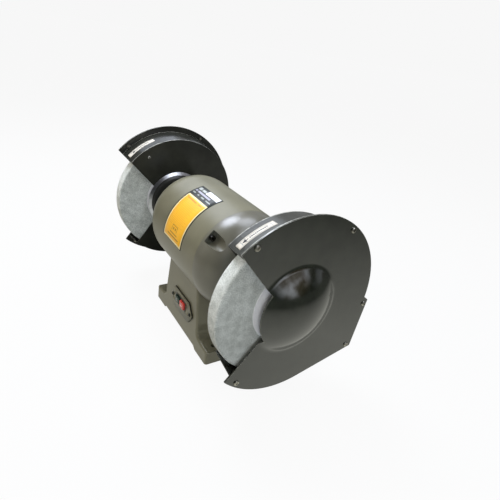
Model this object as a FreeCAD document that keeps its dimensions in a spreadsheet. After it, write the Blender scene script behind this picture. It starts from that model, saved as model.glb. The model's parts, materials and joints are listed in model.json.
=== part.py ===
import FreeCAD, Part
import math
import os
import Sketcher

# Bench grinder with two 250 mm wheels. All sizes are millimetres and angles are degrees.
# The frame stands on its feet: origin at the middle of the underside, +X along the shaft to
# the right-hand wheel, -Y to the operator, +Z up. Every piece is drawn about the shaft's own
# centre and then raised by axis_height.

os.makedirs("parts", exist_ok=True)

driving_sizes = [
    ("axis_height", 197),
    # motor frame, end bells and the bolts that tie them
    ("barrel_radius", 92),
    ("barrel_half_length", 90),
    ("barrel_bore", 78),
    ("seam_gap", 0.1),
    ("bell_edge_radius", 91.9),
    ("bell_shoulder", 55),
    ("bell_cavity_radius", 66),
    ("bell_wall", 10),
    ("bell_lip", 4),
    ("hub_wall", 7),
    ("bearing_lip", 2),
    ("shaft_gap", 2),
    ("spigot_radius", 34),
    ("spigot_recess", 9),
    ("tie_bolt_circle", 85),
    ("tie_bolt_radius", 3),
    ("tie_bolt_high_angle", 39.3),
    ("tie_bolt_low_angle", 55),
    ("tie_bolt_head", 5),
    ("pocket_circle", 87.5),
    ("pocket_radius", 12.3),
    ("pocket_flange", 6),
    ("thread_depth", 16),
    # rotor, stator and bearings
    ("stator_bore", 45),
    ("stack_half_length", 35),
    ("slot_count", 24),
    ("slot_width", 5),
    ("slot_depth", 18),
    ("winding_overhang", 25),
    ("winding_gap", 0.3),
    ("winding_lift", 2),
    ("overhang_step", 4),
    ("air_gap", 0.5),
    ("rotor_seat_radius", 15),
    ("end_ring_width", 8),
    ("end_ring_bore", 27),
    ("end_ring_step", 2),
    ("bearing_bore", 12.5),
    ("bearing_radius", 26),
    ("bearing_width", 15),
    ("ball_count", 9),
    ("race_thickness", 4.5),
    ("groove_depth", 1.65),
    ("fit_clearance", 0.03),
    ("ball_clearance", 0.15),
    # spindle ends, wheels and flanges
    ("spindle_radius", 10),
    ("spindle_overhang", 5),
    ("spindle_chamfer", 2),
    ("wheel_radius", 125),
    ("wheel_width", 25),
    ("wheel_bore", 16),
    ("wheel_setback", 13),
    ("wheel_edge", 1.2),
    ("blotter_radius", 64),
    ("blotter_thickness", 0.8),
    ("flange_radius", 45),
    ("flange_thickness", 9.5),
    ("flange_rim", 5),
    ("flange_hub_radius", 22),
    ("flange_relief", 1.5),
    ("flange_land_radius", 33.75),
    ("nut_flats", 30),
    ("nut_height", 16),
    ("nut_chamfer_height", 2.4),
    ("nut_face_radius", 14.4),
    # wheel guards
    ("guard_width", 53.5),
    ("guard_sheet", 1.5),
    ("guard_rim_margin", 28),
    ("guard_low_shrink", 4.5),
    ("guard_rear_extra", 10.6),
    ("guard_rear_tilt", 6.3),
    ("guard_bottom_rise", 14.3),
    ("guard_step_shrink", 71),
    ("guard_step_angle", 53.5),
    ("band_inset", 12),
    ("band_draft", 5),
    ("opening_apex", 19),
    ("opening_half_angle", 50.3),
    ("plate_arc_radius", 60),
    ("cover_arc_radius", 65),
    ("guard_tilt_left", 4),
    ("plate_hole_radius", 36),
    ("outlet_drop", 67),
    ("outlet_height", 50),
    ("outlet_margin", 8),
    ("outlet_depth", 38.25),
    ("dome_foot_radius", 79),
    ("dome_fillet", 16),
    ("dome_slope", 36),
    # what carries the guards
    ("mount_neck_radius", 44),
    ("mount_flange_radius", 65),
    ("mount_rim_radius", 54),
    ("mount_flange_thickness", 8),
    ("mount_start_gap", 1.9),
    ("mount_length", 52),
    ("mount_screw_circle", 56),
    ("mount_thread_depth", 6),
    ("thread_end_gap", 0.6),
    ("grub_relief", 1),
    ("grub_socket_start", 6),
    ("grub_socket_radius", 1.65),
    ("socket_share", 0.5),
    ("socket_floor_share", 0.45),
    ("guard_screw_radius", 3),
    ("guard_screw_head", 5.5),
    ("guard_screw_head_height", 3.2),
    ("cover_screw_radius", 2),
    ("cover_screw_head", 4.5),
    ("cover_screw_head_height", 2.6),
    ("cover_screw_inset", 7.8),
    ("cover_screw_upper_inset", 10.14),
    ("cover_screw_lower_inset", 11.7),
    ("cover_screw_rear_angle", 57),
    ("cover_screw_front_angle", 127),
    ("cover_screw_low_angle", 233),
    ("cover_nut_flats", 7),
    ("cover_nut_height", 3.2),
    ("screw_end", 1),
    ("hole_clearance", 0.3),
    ("side_screw_circle", 120),
    ("side_screw_angle", 120),
    ("side_screw_head", 3.3),
    ("side_screw_head_height", 1.92),
    ("cutter_overlap", 10),
    # pedestal
    ("pedestal_depth", 128.6),
    ("pedestal_top_half", 62),
    ("pedestal_waist_half", 76),
    ("pedestal_waist_rise", 12),
    ("pedestal_join_drop", 46),
    ("foot_half_length", 122),
    ("foot_height", 27),
    ("foot_slope", 3),
    ("foot_root_radius", 16),
    ("pedestal_wall", 7),
    ("pedestal_edge_radius", 5),
    ("relief_height", 5.5),
    ("relief_half", 69),
    ("relief_run", 7),
    ("hollow_bottom_half", 65),
    ("base_cover_thickness", 1.5),
    ("base_cover_margin", 3),
    ("base_boss_radius", 6),
    ("base_boss_inset", 7),
    ("base_boss_height", 24),
    ("base_hole_end", 4),
    ("base_screw_length", 14.4),
    ("base_screw_head", 4.05),
    ("base_screw_head_height", 2.08),
    ("foot_hole_radius", 5.5),
    ("foot_hole_half_x", 107),
    ("foot_hole_half_y", 42),
    ("wire_hole_radius", 9),
    ("wire_hole_shift", 50),
    # switch, capacitor, terminals and cord gland
    ("switch_height", 63.5),
    ("switch_shift", 8.5),
    ("switch_plate_half_length", 48),
    ("switch_plate_flat_half", 33),
    ("switch_plate_half_height", 22.5),
    ("switch_plate_tip_half", 3),
    ("switch_plate_thickness", 2.5),
    ("switch_screw_spacing", 80),
    ("switch_screw_head", 3.6),
    ("bezel_margin", 1.5),
    ("bezel_thickness", 0.8),
    ("switch_case_depth", 34),
    ("switch_case_wall", 1.1),
    ("switch_gap", 0.2),
    ("case_shift", -2.4),
    ("case_lift", 2.4),
    ("button_length", 19),
    ("button_height", 14),
    ("button_gap", 0.3),
    ("button_rib", 1.2),
    ("button_rise", 3.6),
    ("button_depth", 8),
    ("button_travel", 3),
    ("button_edge_radius", 0.8),
    ("tag_width", 4.8),
    ("tag_length", 8.5),
    ("tag_thickness", 0.8),
    ("tag_root", 0.5),
    ("capacitor_radius", 18),
    ("capacitor_length", 62),
    ("capacitor_shift", 9.3),
    ("capacitor_neck_radius", 12.6),
    ("capacitor_neck_length", 5),
    ("strap_thickness", 1.2),
    ("strap_width", 12),
    ("strap_shift", 24.8),
    ("strap_wall_gap", 0.3),
    ("strap_clearance", 0.05),
    ("strap_foot_drop", 9),
    ("strap_foot_height", 39.6),
    ("terminal_count", 4),
    ("terminal_length", 40),
    ("terminal_shift", 10),
    ("terminal_rise", 15),
    ("terminal_height", 18),
    ("terminal_depth", 14),
    ("terminal_well_radius", 3),
    ("terminal_well_depth", 8.4),
    ("gland_radius", 8),
    ("gland_flange_radius", 12),
    ("gland_flange_thickness", 5),
    ("gland_collar_radius", 7.2),
    ("gland_collar_length", 14),
    ("gland_stem_reach", 6),
    ("gland_bore", 4.5),
    ("gland_height", 47),
    ("gland_shift", 40),
    # labels
    ("label_start", -40.4),
    ("label_length", 80),
    ("label_first_angle", 101),
    ("label_last_angle", 178),
    ("label_thickness", 0.25),
    ("arrow_label_right_start", 14),
    ("arrow_label_left_start", 18),
    ("arrow_label_width", 12),
    ("arrow_label_first_angle", 107),
    ("arrow_label_last_angle", 133),
]

doc = FreeCAD.newDocument("bench_grinder")
sheet = doc.addObject("Spreadsheet::Sheet", "Sizes")
for row, (alias, number) in enumerate(driving_sizes, start=1):
    sheet.set(f"A{row}", alias)
    sheet.set(f"B{row}", str(number))
    sheet.setAlias(f"B{row}", alias)
doc.recompute()


class Size:
    """A length, ratio or angle with the sheet expression that gives it."""

    def __init__(self, value, text):
        self.value = float(value)
        self.text = text

    def combined(self, other, sign, value):
        return Size(value, f"({self.text} {sign} {as_size(other).text})")

    def __add__(self, other):
        return self.combined(other, "+", self.value + as_size(other).value)

    def __sub__(self, other):
        return self.combined(other, "-", self.value - as_size(other).value)

    def __mul__(self, other):
        return self.combined(other, "*", self.value * as_size(other).value)

    def __truediv__(self, other):
        return self.combined(other, "/", self.value / as_size(other).value)

    def __rsub__(self, other):
        return as_size(other) - self

    def __radd__(self, other):
        return as_size(other) + self

    def __rmul__(self, other):
        return as_size(other) * self

    def __rtruediv__(self, other):
        return as_size(other) / self

    def __neg__(self):
        return Size(-self.value, f"(0 - {self.text})")


def as_size(number):
    return number if isinstance(number, Size) else Size(number, repr(number))


def cosine(angle):
    angle = as_size(angle)
    return Size(math.cos(math.radians(angle.value)), f"cos({angle.text})")


def sine(angle):
    angle = as_size(angle)
    return Size(math.sin(math.radians(angle.value)), f"sin({angle.text})")


def tangent(angle):
    return sine(angle) / cosine(angle)


def angle_of_cosine(ratio):
    return Size(math.degrees(math.acos(ratio.value)), f"(acos({ratio.text}) / 1 deg)")


def root(number):
    return Size(math.sqrt(number.value), f"sqrt({number.text})")


class Sizes:
    """Reads a driving size from the sheet by its alias."""

    def __getattr__(self, alias):
        return Size(sheet.get(alias), f"Sizes.{alias}")


size = Sizes()
along_x = FreeCAD.Rotation(FreeCAD.Vector(0, 1, 0), 90)
along_y = FreeCAD.Rotation(FreeCAD.Vector(1, 0, 0), -90)
upright = FreeCAD.Rotation()


def bind(item, name, number):
    """Sets a property to a plain number, or ties it to the sheet."""
    number = as_size(number)
    item.setExpression(name, number.text)


def place(item, x=0, y=0, z=0, turn=upright):
    item.Placement = FreeCAD.Placement(FreeCAD.Vector(0, 0, 0), turn)
    for axis, number in (("x", x), ("y", y), ("z", z)):
        bind(item, f"Placement.Base.{axis}", number)
    return item


def cylinder(name, radius, length, x=0, y=0, z=0, turn=along_x):
    item = doc.addObject("Part::Cylinder", name)
    bind(item, "Radius", radius)
    bind(item, "Height", length)
    return place(item, x, y, z, turn)


def box(name, x, y, z, length, width, height):
    item = doc.addObject("Part::Box", name)
    bind(item, "Length", length)
    bind(item, "Width", width)
    bind(item, "Height", height)
    return place(item, x, y, z)


def fuse(name, *pieces):
    item = doc.addObject("Part::MultiFuse", name)
    item.Shapes = list(pieces)
    item.Refine = True
    return item


def cut(name, base, *tools):
    item = doc.addObject("Part::Cut", name)
    item.Base = base
    item.Tool = tools[0] if len(tools) == 1 else fuse(name + "_tools", *tools)
    return item


def common(name, first, second):
    item = doc.addObject("Part::Common", name)
    item.Base = first
    item.Tool = second
    return item


def group(name, pieces):
    item = doc.addObject("Part::Compound", name)
    item.Links = list(pieces)
    return item


def copy_at(name, source, x=0, y=0, z=0, turn=upright):
    return place(group(name, [source]), x, y, z, turn)


def ring(name, outer, inner, length, x=0, turn=along_x):
    return cut(
        name,
        cylinder(name + "_outside", outer, length, x, turn=turn),
        cylinder(name + "_inside", inner, length, x, turn=turn),
    )


def mirrored(name, source):
    item = doc.addObject("Part::Mirroring", name)
    item.Source = source
    item.Normal = FreeCAD.Vector(1, 0, 0)
    return item


def polar(radius, angle):
    return radius * cosine(angle), radius * sine(angle)


def fix_coordinate(sketch, geometry, end, kind, number):
    number = as_size(number)
    if number.text in ("0", "0.0"):
        axis = -2 if kind == "DistanceX" else -1
        sketch.addConstraint(Sketcher.Constraint("PointOnObject", geometry, end, axis))
        return
    index = sketch.addConstraint(Sketcher.Constraint(kind, -1, 1, geometry, end, number.value))
    sketch.setExpression(f"Constraints[{index}]", number.text)


def add_arc(sketch, start, stop, arc):
    """Adds the arc between two corners and returns its index and its two end numbers."""
    radius, centre_u, centre_v, turn = arc
    centre = FreeCAD.Vector(as_size(centre_u).value, as_size(centre_v).value, 0)
    circle = Part.Circle(centre, FreeCAD.Vector(0, 0, 1), as_size(radius).value)
    first = math.atan2(start.y - centre.y, start.x - centre.x)
    last = math.atan2(stop.y - centre.y, stop.x - centre.x)
    if turn < 0:
        first, last = last, first
    if last <= first:
        last += 2 * math.pi
    index = sketch.addGeometry(Part.ArcOfCircle(circle, first, last))
    rule = sketch.addConstraint(Sketcher.Constraint("Radius", index, as_size(radius).value))
    sketch.setExpression(f"Constraints[{rule}]", as_size(radius).text)
    return (index, 1, 2) if turn > 0 else (index, 2, 1)


def draw_loop(sketch, corners):
    """Draws one closed loop. A corner is (u, v) or (u, v, arc to the next corner), and an
    arc is (radius, centre u, centre v, 1 for anticlockwise or -1 for clockwise)."""
    spots = [FreeCAD.Vector(as_size(c[0]).value, as_size(c[1]).value, 0) for c in corners]
    edges = []
    for number, corner in enumerate(corners):
        start, stop = spots[number], spots[(number + 1) % len(corners)]
        if len(corner) == 3:
            edges.append(add_arc(sketch, start, stop, corner[2]))
        else:
            edges.append((sketch.addGeometry(Part.LineSegment(start, stop)), 1, 2))
    for number, corner in enumerate(corners):
        index, start, stop = edges[number]
        after = edges[(number + 1) % len(corners)]
        sketch.addConstraint(Sketcher.Constraint("Coincident", index, stop, after[0], after[1]))
        fix_coordinate(sketch, index, start, "DistanceX", corner[0])
        fix_coordinate(sketch, index, start, "DistanceY", corner[1])


def draw(body, role, loops, lift=0):
    """A sketch on one of the body's own planes, lifted along that plane's normal."""
    sketch = body.newObject("Sketcher::SketchObject", body.Name + "_sketch")
    plane = [item for item in body.Origin.OriginFeatures if item.Role == role][0]
    sketch.AttachmentSupport = [(plane, "")]
    sketch.MapMode = "FlatFace"
    bind(sketch, "AttachmentOffset.Base.z", lift)
    for corners in loops:
        draw_loop(sketch, corners)
    return sketch


def new_body(name):
    return doc.addObject("PartDesign::Body", name)


def turned(name, corners):
    """A solid of revolution about the shaft, from (x, radius) corners."""
    body = new_body(name)
    sketch = draw(body, "XZ_Plane", [corners])
    feature = body.newObject("PartDesign::Revolution", name + "_turning")
    feature.Profile = sketch
    feature.ReferenceAxis = (sketch, ["H_Axis"])
    feature.Angle = 360
    sketch.Visibility = False
    return body


def padded(body, sketch, length):
    feature = body.newObject("PartDesign::Pad", body.Name + "_pad")
    feature.Profile = sketch
    bind(feature, "Length", length)
    return feature


def plate(name, loops, x, thickness):
    """A flat plate across the shaft, from loops of (y, z) corners."""
    body = new_body(name)
    padded(body, draw(body, "YZ_Plane", loops, x), thickness)
    return body


def block(name, corners, y, depth):
    """A prism along Y, from (x, z) corners, whose front face is at y."""
    body = new_body(name)
    # the sketch's normal points to -Y, so the lift is the back face's distance that way
    padded(body, draw(body, "XZ_Plane", [corners], -(as_size(y) + depth)), depth)
    return body


def screw(name, radius, length, head_radius, head_height):
    """A screw along +X with its head's underside at the origin and a hexagon socket."""
    head = cylinder(name + "_cap", head_radius, head_height)
    shank = cylinder(name + "_shank", radius, length, x=-length)
    socket = doc.addObject("Part::Prism", name + "_socket")
    socket.Polygon = 6
    bind(socket, "Circumradius", head_radius * size.socket_share)
    bind(socket, "Height", head_height)
    place(socket, x=head_height * size.socket_floor_share, turn=along_x)
    return cut(name, fuse(name + "_blank", head, shank), socket)


def finished(item, label):
    """Raises a piece from the shaft's centre to its height on the stand and names it."""
    item.Label = label
    bind(item, "Placement.Base.z", size.axis_height)
    nodes.append(item)
    return item


def tilt_with_left_guard(item):
    """Turns a piece about the shaft as far as the left-hand guard is set round."""
    axis = FreeCAD.Vector(1, 0, 0)
    item.Placement = FreeCAD.Placement(FreeCAD.Vector(), FreeCAD.Rotation(axis, 1))
    bind(item, "Placement.Rotation.Angle", size.guard_tilt_left)


def finished_pair(item, label, tilt_left=False):
    """Names a right-hand piece and adds its mirror image on the left."""
    left = mirrored(label + "_left", item)
    if tilt_left:
        tilt_with_left_guard(left)
    right = group(label + "_right", [item])
    finished(left, label + "_left")
    finished(right, label + "_right")


def seam_x():
    return size.barrel_half_length + size.seam_gap


def bell_end():
    return seam_x() + size.bell_shoulder


def pocket_floor():
    return seam_x() + size.pocket_flange


def bearing_start():
    return bell_end() - size.bearing_width


def guard_inner_face():
    return bell_end() + size.mount_start_gap + size.mount_length


def guard_outer_face():
    return guard_inner_face() + size.guard_width


def guard_rim_face():
    return guard_outer_face() - 2 * size.guard_sheet


def wheel_start():
    return guard_inner_face() + size.wheel_setback


def guard_radius():
    return size.wheel_radius + size.guard_rim_margin


def guard_low_radius():
    return guard_radius() - size.guard_low_shrink


def guard_rear_reach():
    return guard_radius() + size.guard_rear_extra


def switch_z():
    return size.switch_height - size.axis_height


def gland_z():
    return size.gland_height - size.axis_height


nodes = []


# --- motor frame and pedestal ---------------------------------------------------------------
def pedestal_outline():
    floor = -size.axis_height
    foot = size.foot_half_length
    side = size.pedestal_waist_half
    root = size.foot_root_radius
    foot_top = floor + size.foot_height
    root_top = foot_top + size.foot_slope
    waist = root_top + root + size.pedestal_waist_rise
    relief = floor + size.relief_height
    outline = []
    # up the right-hand side, over the top behind the barrel, and down the left-hand side
    outline += [(foot, floor), (foot, foot_top)]
    outline += [(side + root, root_top, (root, side + root, root_top + root, -1))]
    outline += [(side, root_top + root), (side, waist)]
    outline += [(size.pedestal_top_half, -size.pedestal_join_drop)]
    outline += [(-size.pedestal_top_half, -size.pedestal_join_drop)]
    outline += [(-side, waist)]
    outline += [(-side, root_top + root, (root, -side - root, root_top + root, -1))]
    outline += [(-side - root, root_top), (-foot, foot_top), (-foot, floor)]
    # along the underside, which is relieved between the feet
    outline += [(-size.relief_half - size.relief_run, floor), (-size.relief_half, relief)]
    outline += [(size.relief_half, relief), (size.relief_half + size.relief_run, floor)]
    return outline


def edges_where(shape, test):
    return [f"Edge{n}" for n, edge in enumerate(shape.Edges, start=1) if test(edge)]


def pedestal_body():
    half = size.pedestal_depth / 2
    body = block("pedestal_block", pedestal_outline(), -half, size.pedestal_depth)
    doc.recompute()
    pad = body.Tip
    front = half.value
    floor = -size.axis_height.value
    relief_top = floor + size.relief_height.value + 1

    def is_outline(edge):
        limits = edge.BoundBox
        on_face = abs(abs(limits.YMin) - front) < 0.01 and limits.YLength < 0.01
        return on_face and limits.ZMax > relief_top and limits.ZLength > 0.01

    def is_foot_end(edge):
        limits = edge.BoundBox
        return limits.XLength < 0.01 and limits.ZLength > size.foot_height.value / 2

    rounding = body.newObject("PartDesign::Fillet", "pedestal_rounding")
    rounding.Base = (pad, edges_where(pad.Shape, lambda e: is_outline(e) or is_foot_end(e)))
    bind(rounding, "Radius", size.pedestal_edge_radius)
    body.Tip = rounding
    doc.recompute()
    return body


def hollow_tool():
    bottom = -size.axis_height
    top_half = size.pedestal_top_half - size.pedestal_wall
    corners = [
        (size.hollow_bottom_half, bottom),
        (top_half, -size.pedestal_join_drop),
        (-top_half, -size.pedestal_join_drop),
        (-size.hollow_bottom_half, bottom),
    ]
    depth = size.pedestal_depth - 2 * size.pedestal_wall
    room = block("pedestal_room", corners, -(depth / 2), depth)
    barrel = cylinder(
        "room_limit", size.barrel_radius, 2 * size.barrel_half_length, x=-size.barrel_half_length
    )
    return cut("pedestal_hollow", room, barrel)


def base_boss_spots():
    across = size.hollow_bottom_half - size.base_boss_inset
    deep = size.pedestal_depth / 2 - size.pedestal_wall - size.base_boss_inset
    return [(a * across, b * deep) for a in (-1, 1) for b in (-1, 1)]


def frame_with_feet():
    seam = size.barrel_half_length
    drum = cylinder("barrel_drum", size.barrel_radius, 2 * seam, x=-seam)
    shell = cut("pedestal_shell", fuse("frame_blank", pedestal_body(), drum), hollow_tool())
    boss_bottom = -size.axis_height + size.relief_height
    bosses = []
    for number, (x, y) in enumerate(base_boss_spots(), start=1):
        bosses.append(
            cylinder(
                f"base_boss_{number}", size.base_boss_radius, size.base_boss_height,
                x, y, boss_bottom, upright,
            )
        )
    # the corner posts are joined to the walls by a web as wide as the post
    webs = []
    for number, (x, y) in enumerate(base_boss_spots(), start=1):
        wide = size.base_boss_inset + size.pedestal_wall / 2
        start = x if x.value > 0 else x - wide
        side = y - size.base_boss_radius
        webs.append(
            box(
                f"base_web_{number}", start, side, boss_bottom,
                wide, 2 * size.base_boss_radius, size.base_boss_height,
            )
        )
    blank = fuse("frame_and_bosses", shell, *bosses, *webs)
    tools = [cylinder("barrel_bore_tool", size.barrel_bore, 2 * seam, x=-seam)]
    tools += tie_bolt_holes("frame_bolt_hole", -seam, 2 * seam)
    tools.append(
        cylinder(
            "wire_hole", size.wire_hole_radius, size.barrel_radius,
            size.wire_hole_shift, 0, -size.barrel_radius - size.cutter_overlap, upright,
        )
    )
    for number, (a, b) in enumerate([(-1, -1), (-1, 1), (1, -1), (1, 1)], start=1):
        tools.append(
            cylinder(
                f"foot_hole_{number}", size.foot_hole_radius, 2 * size.foot_height,
                a * size.foot_hole_half_x, b * size.foot_hole_half_y,
                -size.axis_height - 1, upright,
            )
        )
    for number, (x, y) in enumerate(base_boss_spots(), start=1):
        tools.append(
            cylinder(
                f"base_screw_hole_{number}", size.cover_screw_radius + size.fit_clearance,
                size.base_boss_height - size.base_hole_end, x, y, boss_bottom, upright,
            )
        )
    half = size.pedestal_depth / 2
    tools.append(switch_opening("switch_hole", -half - 1, size.pedestal_wall + 2))
    for number, side in enumerate((-1, 1), start=1):
        tools.append(
            cylinder(
                f"switch_screw_hole_{number}", size.cover_screw_radius + size.fit_clearance,
                size.pedestal_wall + 2, size.switch_shift + side * size.switch_screw_spacing / 2,
                -half - 1, switch_z(), along_y,
            )
        )
    tools.append(
        cylinder(
            "gland_hole", size.gland_radius + size.fit_clearance, size.pedestal_wall + 2,
            -size.gland_shift, half - size.pedestal_wall - 1, gland_z(), along_y,
        )
    )
    finished(cut("motor_housing", blank, *tools), "motor_housing")


def tie_bolt_spots(circle):
    high = size.tie_bolt_high_angle
    low = size.tie_bolt_low_angle
    angles = [high, 180 - high, 180 + low, 360 - low]
    return [polar(circle, angle) for angle in angles]


def tie_bolt_holes(name, start, length, extra=0):
    holes = []
    radius = size.tie_bolt_radius + size.hole_clearance + extra
    for number, (y, z) in enumerate(tie_bolt_spots(size.tie_bolt_circle), start=1):
        holes.append(cylinder(f"{name}_{number}", radius, length, start, y, z))
    return holes


def bell_profile():
    seam = seam_x()
    lip = seam - size.bell_lip
    turn_r = size.bell_edge_radius - size.bell_shoulder
    inside = size.bell_shoulder - size.bell_wall
    across = size.bell_cavity_radius - turn_r
    cavity_end = seam + root(inside * inside - across * across)
    bearing_end = bearing_start() + size.bearing_width + size.fit_clearance
    hub = size.bearing_radius + size.hub_wall
    hub_start = bearing_start() - size.bearing_lip
    spigot_end = guard_inner_face() - size.spigot_recess
    return [
        (seam, size.bell_edge_radius, (size.bell_shoulder, seam, turn_r, -1)),
        (bell_end(), turn_r),
        (bell_end(), size.spigot_radius),
        (spigot_end, size.spigot_radius),
        (spigot_end, size.bearing_bore + size.shaft_gap),
        (bearing_end, size.bearing_bore + size.shaft_gap),
        (bearing_end, size.bearing_radius + size.fit_clearance),
        (hub_start, size.bearing_radius + size.fit_clearance),
        (hub_start, hub),
        (seam + inside, hub),
        (seam + inside, turn_r, (inside, seam, turn_r, 1)),
        (cavity_end, size.bell_cavity_radius),
        (lip, size.bell_cavity_radius),
        (lip, size.barrel_bore - size.fit_clearance),
        (seam, size.barrel_bore - size.fit_clearance),
    ]


def end_bells():
    right_blank = turned("bell_turned_right", bell_profile())
    left_blank = turned("bell_turned_left", bell_profile())
    long_way = bell_end() - pocket_floor() + 1
    pockets = []
    for number, (y, z) in enumerate(tie_bolt_spots(size.pocket_circle), start=1):
        pockets.append(
            cylinder(f"bolt_pocket_{number}", size.pocket_radius, long_way, pocket_floor(), y, z)
        )
    hole_start = seam_x() - 2 * size.bell_lip
    through = tie_bolt_holes("bell_bolt_hole", hole_start, pocket_floor() - hole_start + 1)
    finished(cut("end_bell_right", right_blank, *pockets, *through), "end_bell_right")
    grip = size.fit_clearance - size.hole_clearance
    blind = seam_x() + size.thread_depth + 2 - hole_start
    threads = tie_bolt_holes("bell_thread", hole_start, blind, extra=grip)
    finished(mirrored("end_bell_left", cut("bell_threaded", left_blank, *threads)), "end_bell_left")


def tie_bolts():
    length = pocket_floor() + size.barrel_half_length + size.thread_depth
    pattern = screw(
        "tie_bolt", size.tie_bolt_radius, length, size.tie_bolt_head, 2 * size.tie_bolt_radius
    )
    bolts = []
    for number, (y, z) in enumerate(tie_bolt_spots(size.tie_bolt_circle), start=1):
        bolts.append(copy_at(f"tie_bolt_{number}", pattern, pocket_floor(), y, z))
    finished(group("tie_bolts", bolts), "tie_bolts")


# --- stator, rotor, shaft and bearings ------------------------------------------------------
def slot_boxes(name, inner, outer, width, half_length):
    """One radial box for each slot, turned about the shaft."""
    boxes = []
    count = int(size.slot_count.value)
    for number in range(count):
        bar = box(
            f"{name}_{number + 1}", -half_length, -width / 2, inner,
            2 * half_length, width, outer - inner,
        )
        angle = number * 360 / size.slot_count
        across = inner * sine(angle) * -1 - width / 2 * cosine(angle)
        up = inner * cosine(angle) - width / 2 * sine(angle)
        axis = FreeCAD.Vector(1, 0, 0)
        turn = FreeCAD.Rotation(axis, angle.value)
        place(bar, -half_length, across, up, turn)
        boxes.append(bar)
    return boxes


def stator():
    half = size.stack_half_length
    body = ring(
        "stator_ring", size.barrel_bore - size.fit_clearance, size.stator_bore, 2 * half, -half
    )
    slots = slot_boxes(
        "slot", size.stator_bore - size.winding_lift, size.stator_bore + size.slot_depth,
        size.slot_width, half + 1,
    )
    finished(cut("stator_core", body, *slots), "stator_core")
    lift = size.winding_lift
    inner = size.stator_bore + lift
    outer = size.stator_bore + size.slot_depth - size.winding_gap
    bars = slot_boxes(
        "coil_side", inner + 1, outer, size.slot_width - 2 * size.winding_gap, half + 3
    )
    rings = []
    for number, start in enumerate((half + lift, -(half + lift) - size.winding_overhang), start=1):
        reach = outer + size.overhang_step
        rings.append(ring(f"end_turns_{number}", reach, inner, size.winding_overhang, start))
    finished(fuse("stator_windings", *rings, *bars), "stator_windings")


def rotor():
    half = size.stack_half_length
    radius = size.stator_bore - size.air_gap
    seat = size.rotor_seat_radius + size.fit_clearance
    finished(ring("rotor_core", radius, seat, 2 * half, -half), "rotor_core")
    outer = radius - size.end_ring_step
    width = size.end_ring_width
    rings = [
        ring("cage_ring_1", outer, size.end_ring_bore, width, half),
        ring("cage_ring_2", outer, size.end_ring_bore, width, -half - width),
    ]
    finished(group("rotor_end_rings", rings), "rotor_end_rings")


def flange_seat():
    return wheel_start() - size.blotter_thickness - size.flange_thickness


def spindle_end():
    stack = wheel_start() + size.wheel_width + size.blotter_thickness
    return stack + size.flange_thickness + size.nut_height + size.spindle_overhang


def shaft():
    tip = spindle_end()
    steps = [
        (tip, size.spindle_radius - size.spindle_chamfer),
        (tip - size.spindle_chamfer, size.spindle_radius),
        (flange_seat(), size.spindle_radius),
        (flange_seat(), size.bearing_bore),
        (bearing_start(), size.bearing_bore),
        (bearing_start(), size.rotor_seat_radius),
    ]
    right = [(tip, 0)] + steps
    left = [(-x, r) for x, r in reversed(steps)] + [(-tip, 0)]
    finished(turned("shaft", right + left), "shaft")


def bearings():
    """The balls run midway between bore and rim, and reach groove_depth into each race."""
    start = bearing_start()
    width = size.bearing_width
    middle = start + width / 2
    ball_circle = (size.bearing_radius + size.bearing_bore) / 2
    ball_radius = (size.bearing_radius - size.bearing_bore) / 2
    ball_radius = ball_radius - size.race_thickness + size.groove_depth
    groove = doc.addObject("Part::Torus", "ball_groove")
    bind(groove, "Radius1", ball_circle)
    bind(groove, "Radius2", ball_radius + size.ball_clearance)
    place(groove, middle, turn=along_x)
    outer = ring(
        "outer_race", size.bearing_radius, size.bearing_radius - size.race_thickness, width, start
    )
    inner_bore = size.bearing_bore + size.fit_clearance
    inner = ring("inner_race", size.bearing_bore + size.race_thickness, inner_bore, width, start)
    balls = []
    for number in range(int(size.ball_count.value)):
        ball = doc.addObject("Part::Sphere", f"ball_{number + 1}")
        bind(ball, "Radius", ball_radius)
        y, z = polar(ball_circle, number * 360 / size.ball_count)
        balls.append(place(ball, middle, y, z))
    finished_pair(cut("outer_race_grooved", outer, groove), "bearing_outer_race")
    finished_pair(cut("inner_race_grooved", inner, groove), "bearing_inner_race")
    finished_pair(group("balls", balls), "bearing_balls")


# --- wheels and what clamps them ------------------------------------------------------------
def flange_profile(face, away):
    """A clamping flange whose ring-shaped face is at x = face. away is 1 or -1, the side
    on which the flange lies."""
    hub_back = face + away * size.flange_thickness
    rim_back = face + away * size.flange_rim
    relief = face + away * size.flange_relief
    bore = size.spindle_radius + size.fit_clearance
    return [
        (face, size.flange_land_radius),
        (face, size.flange_radius),
        (rim_back, size.flange_radius),
        (hub_back, size.flange_hub_radius),
        (hub_back, bore),
        (relief, bore),
        (relief, size.flange_land_radius),
    ]


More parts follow.
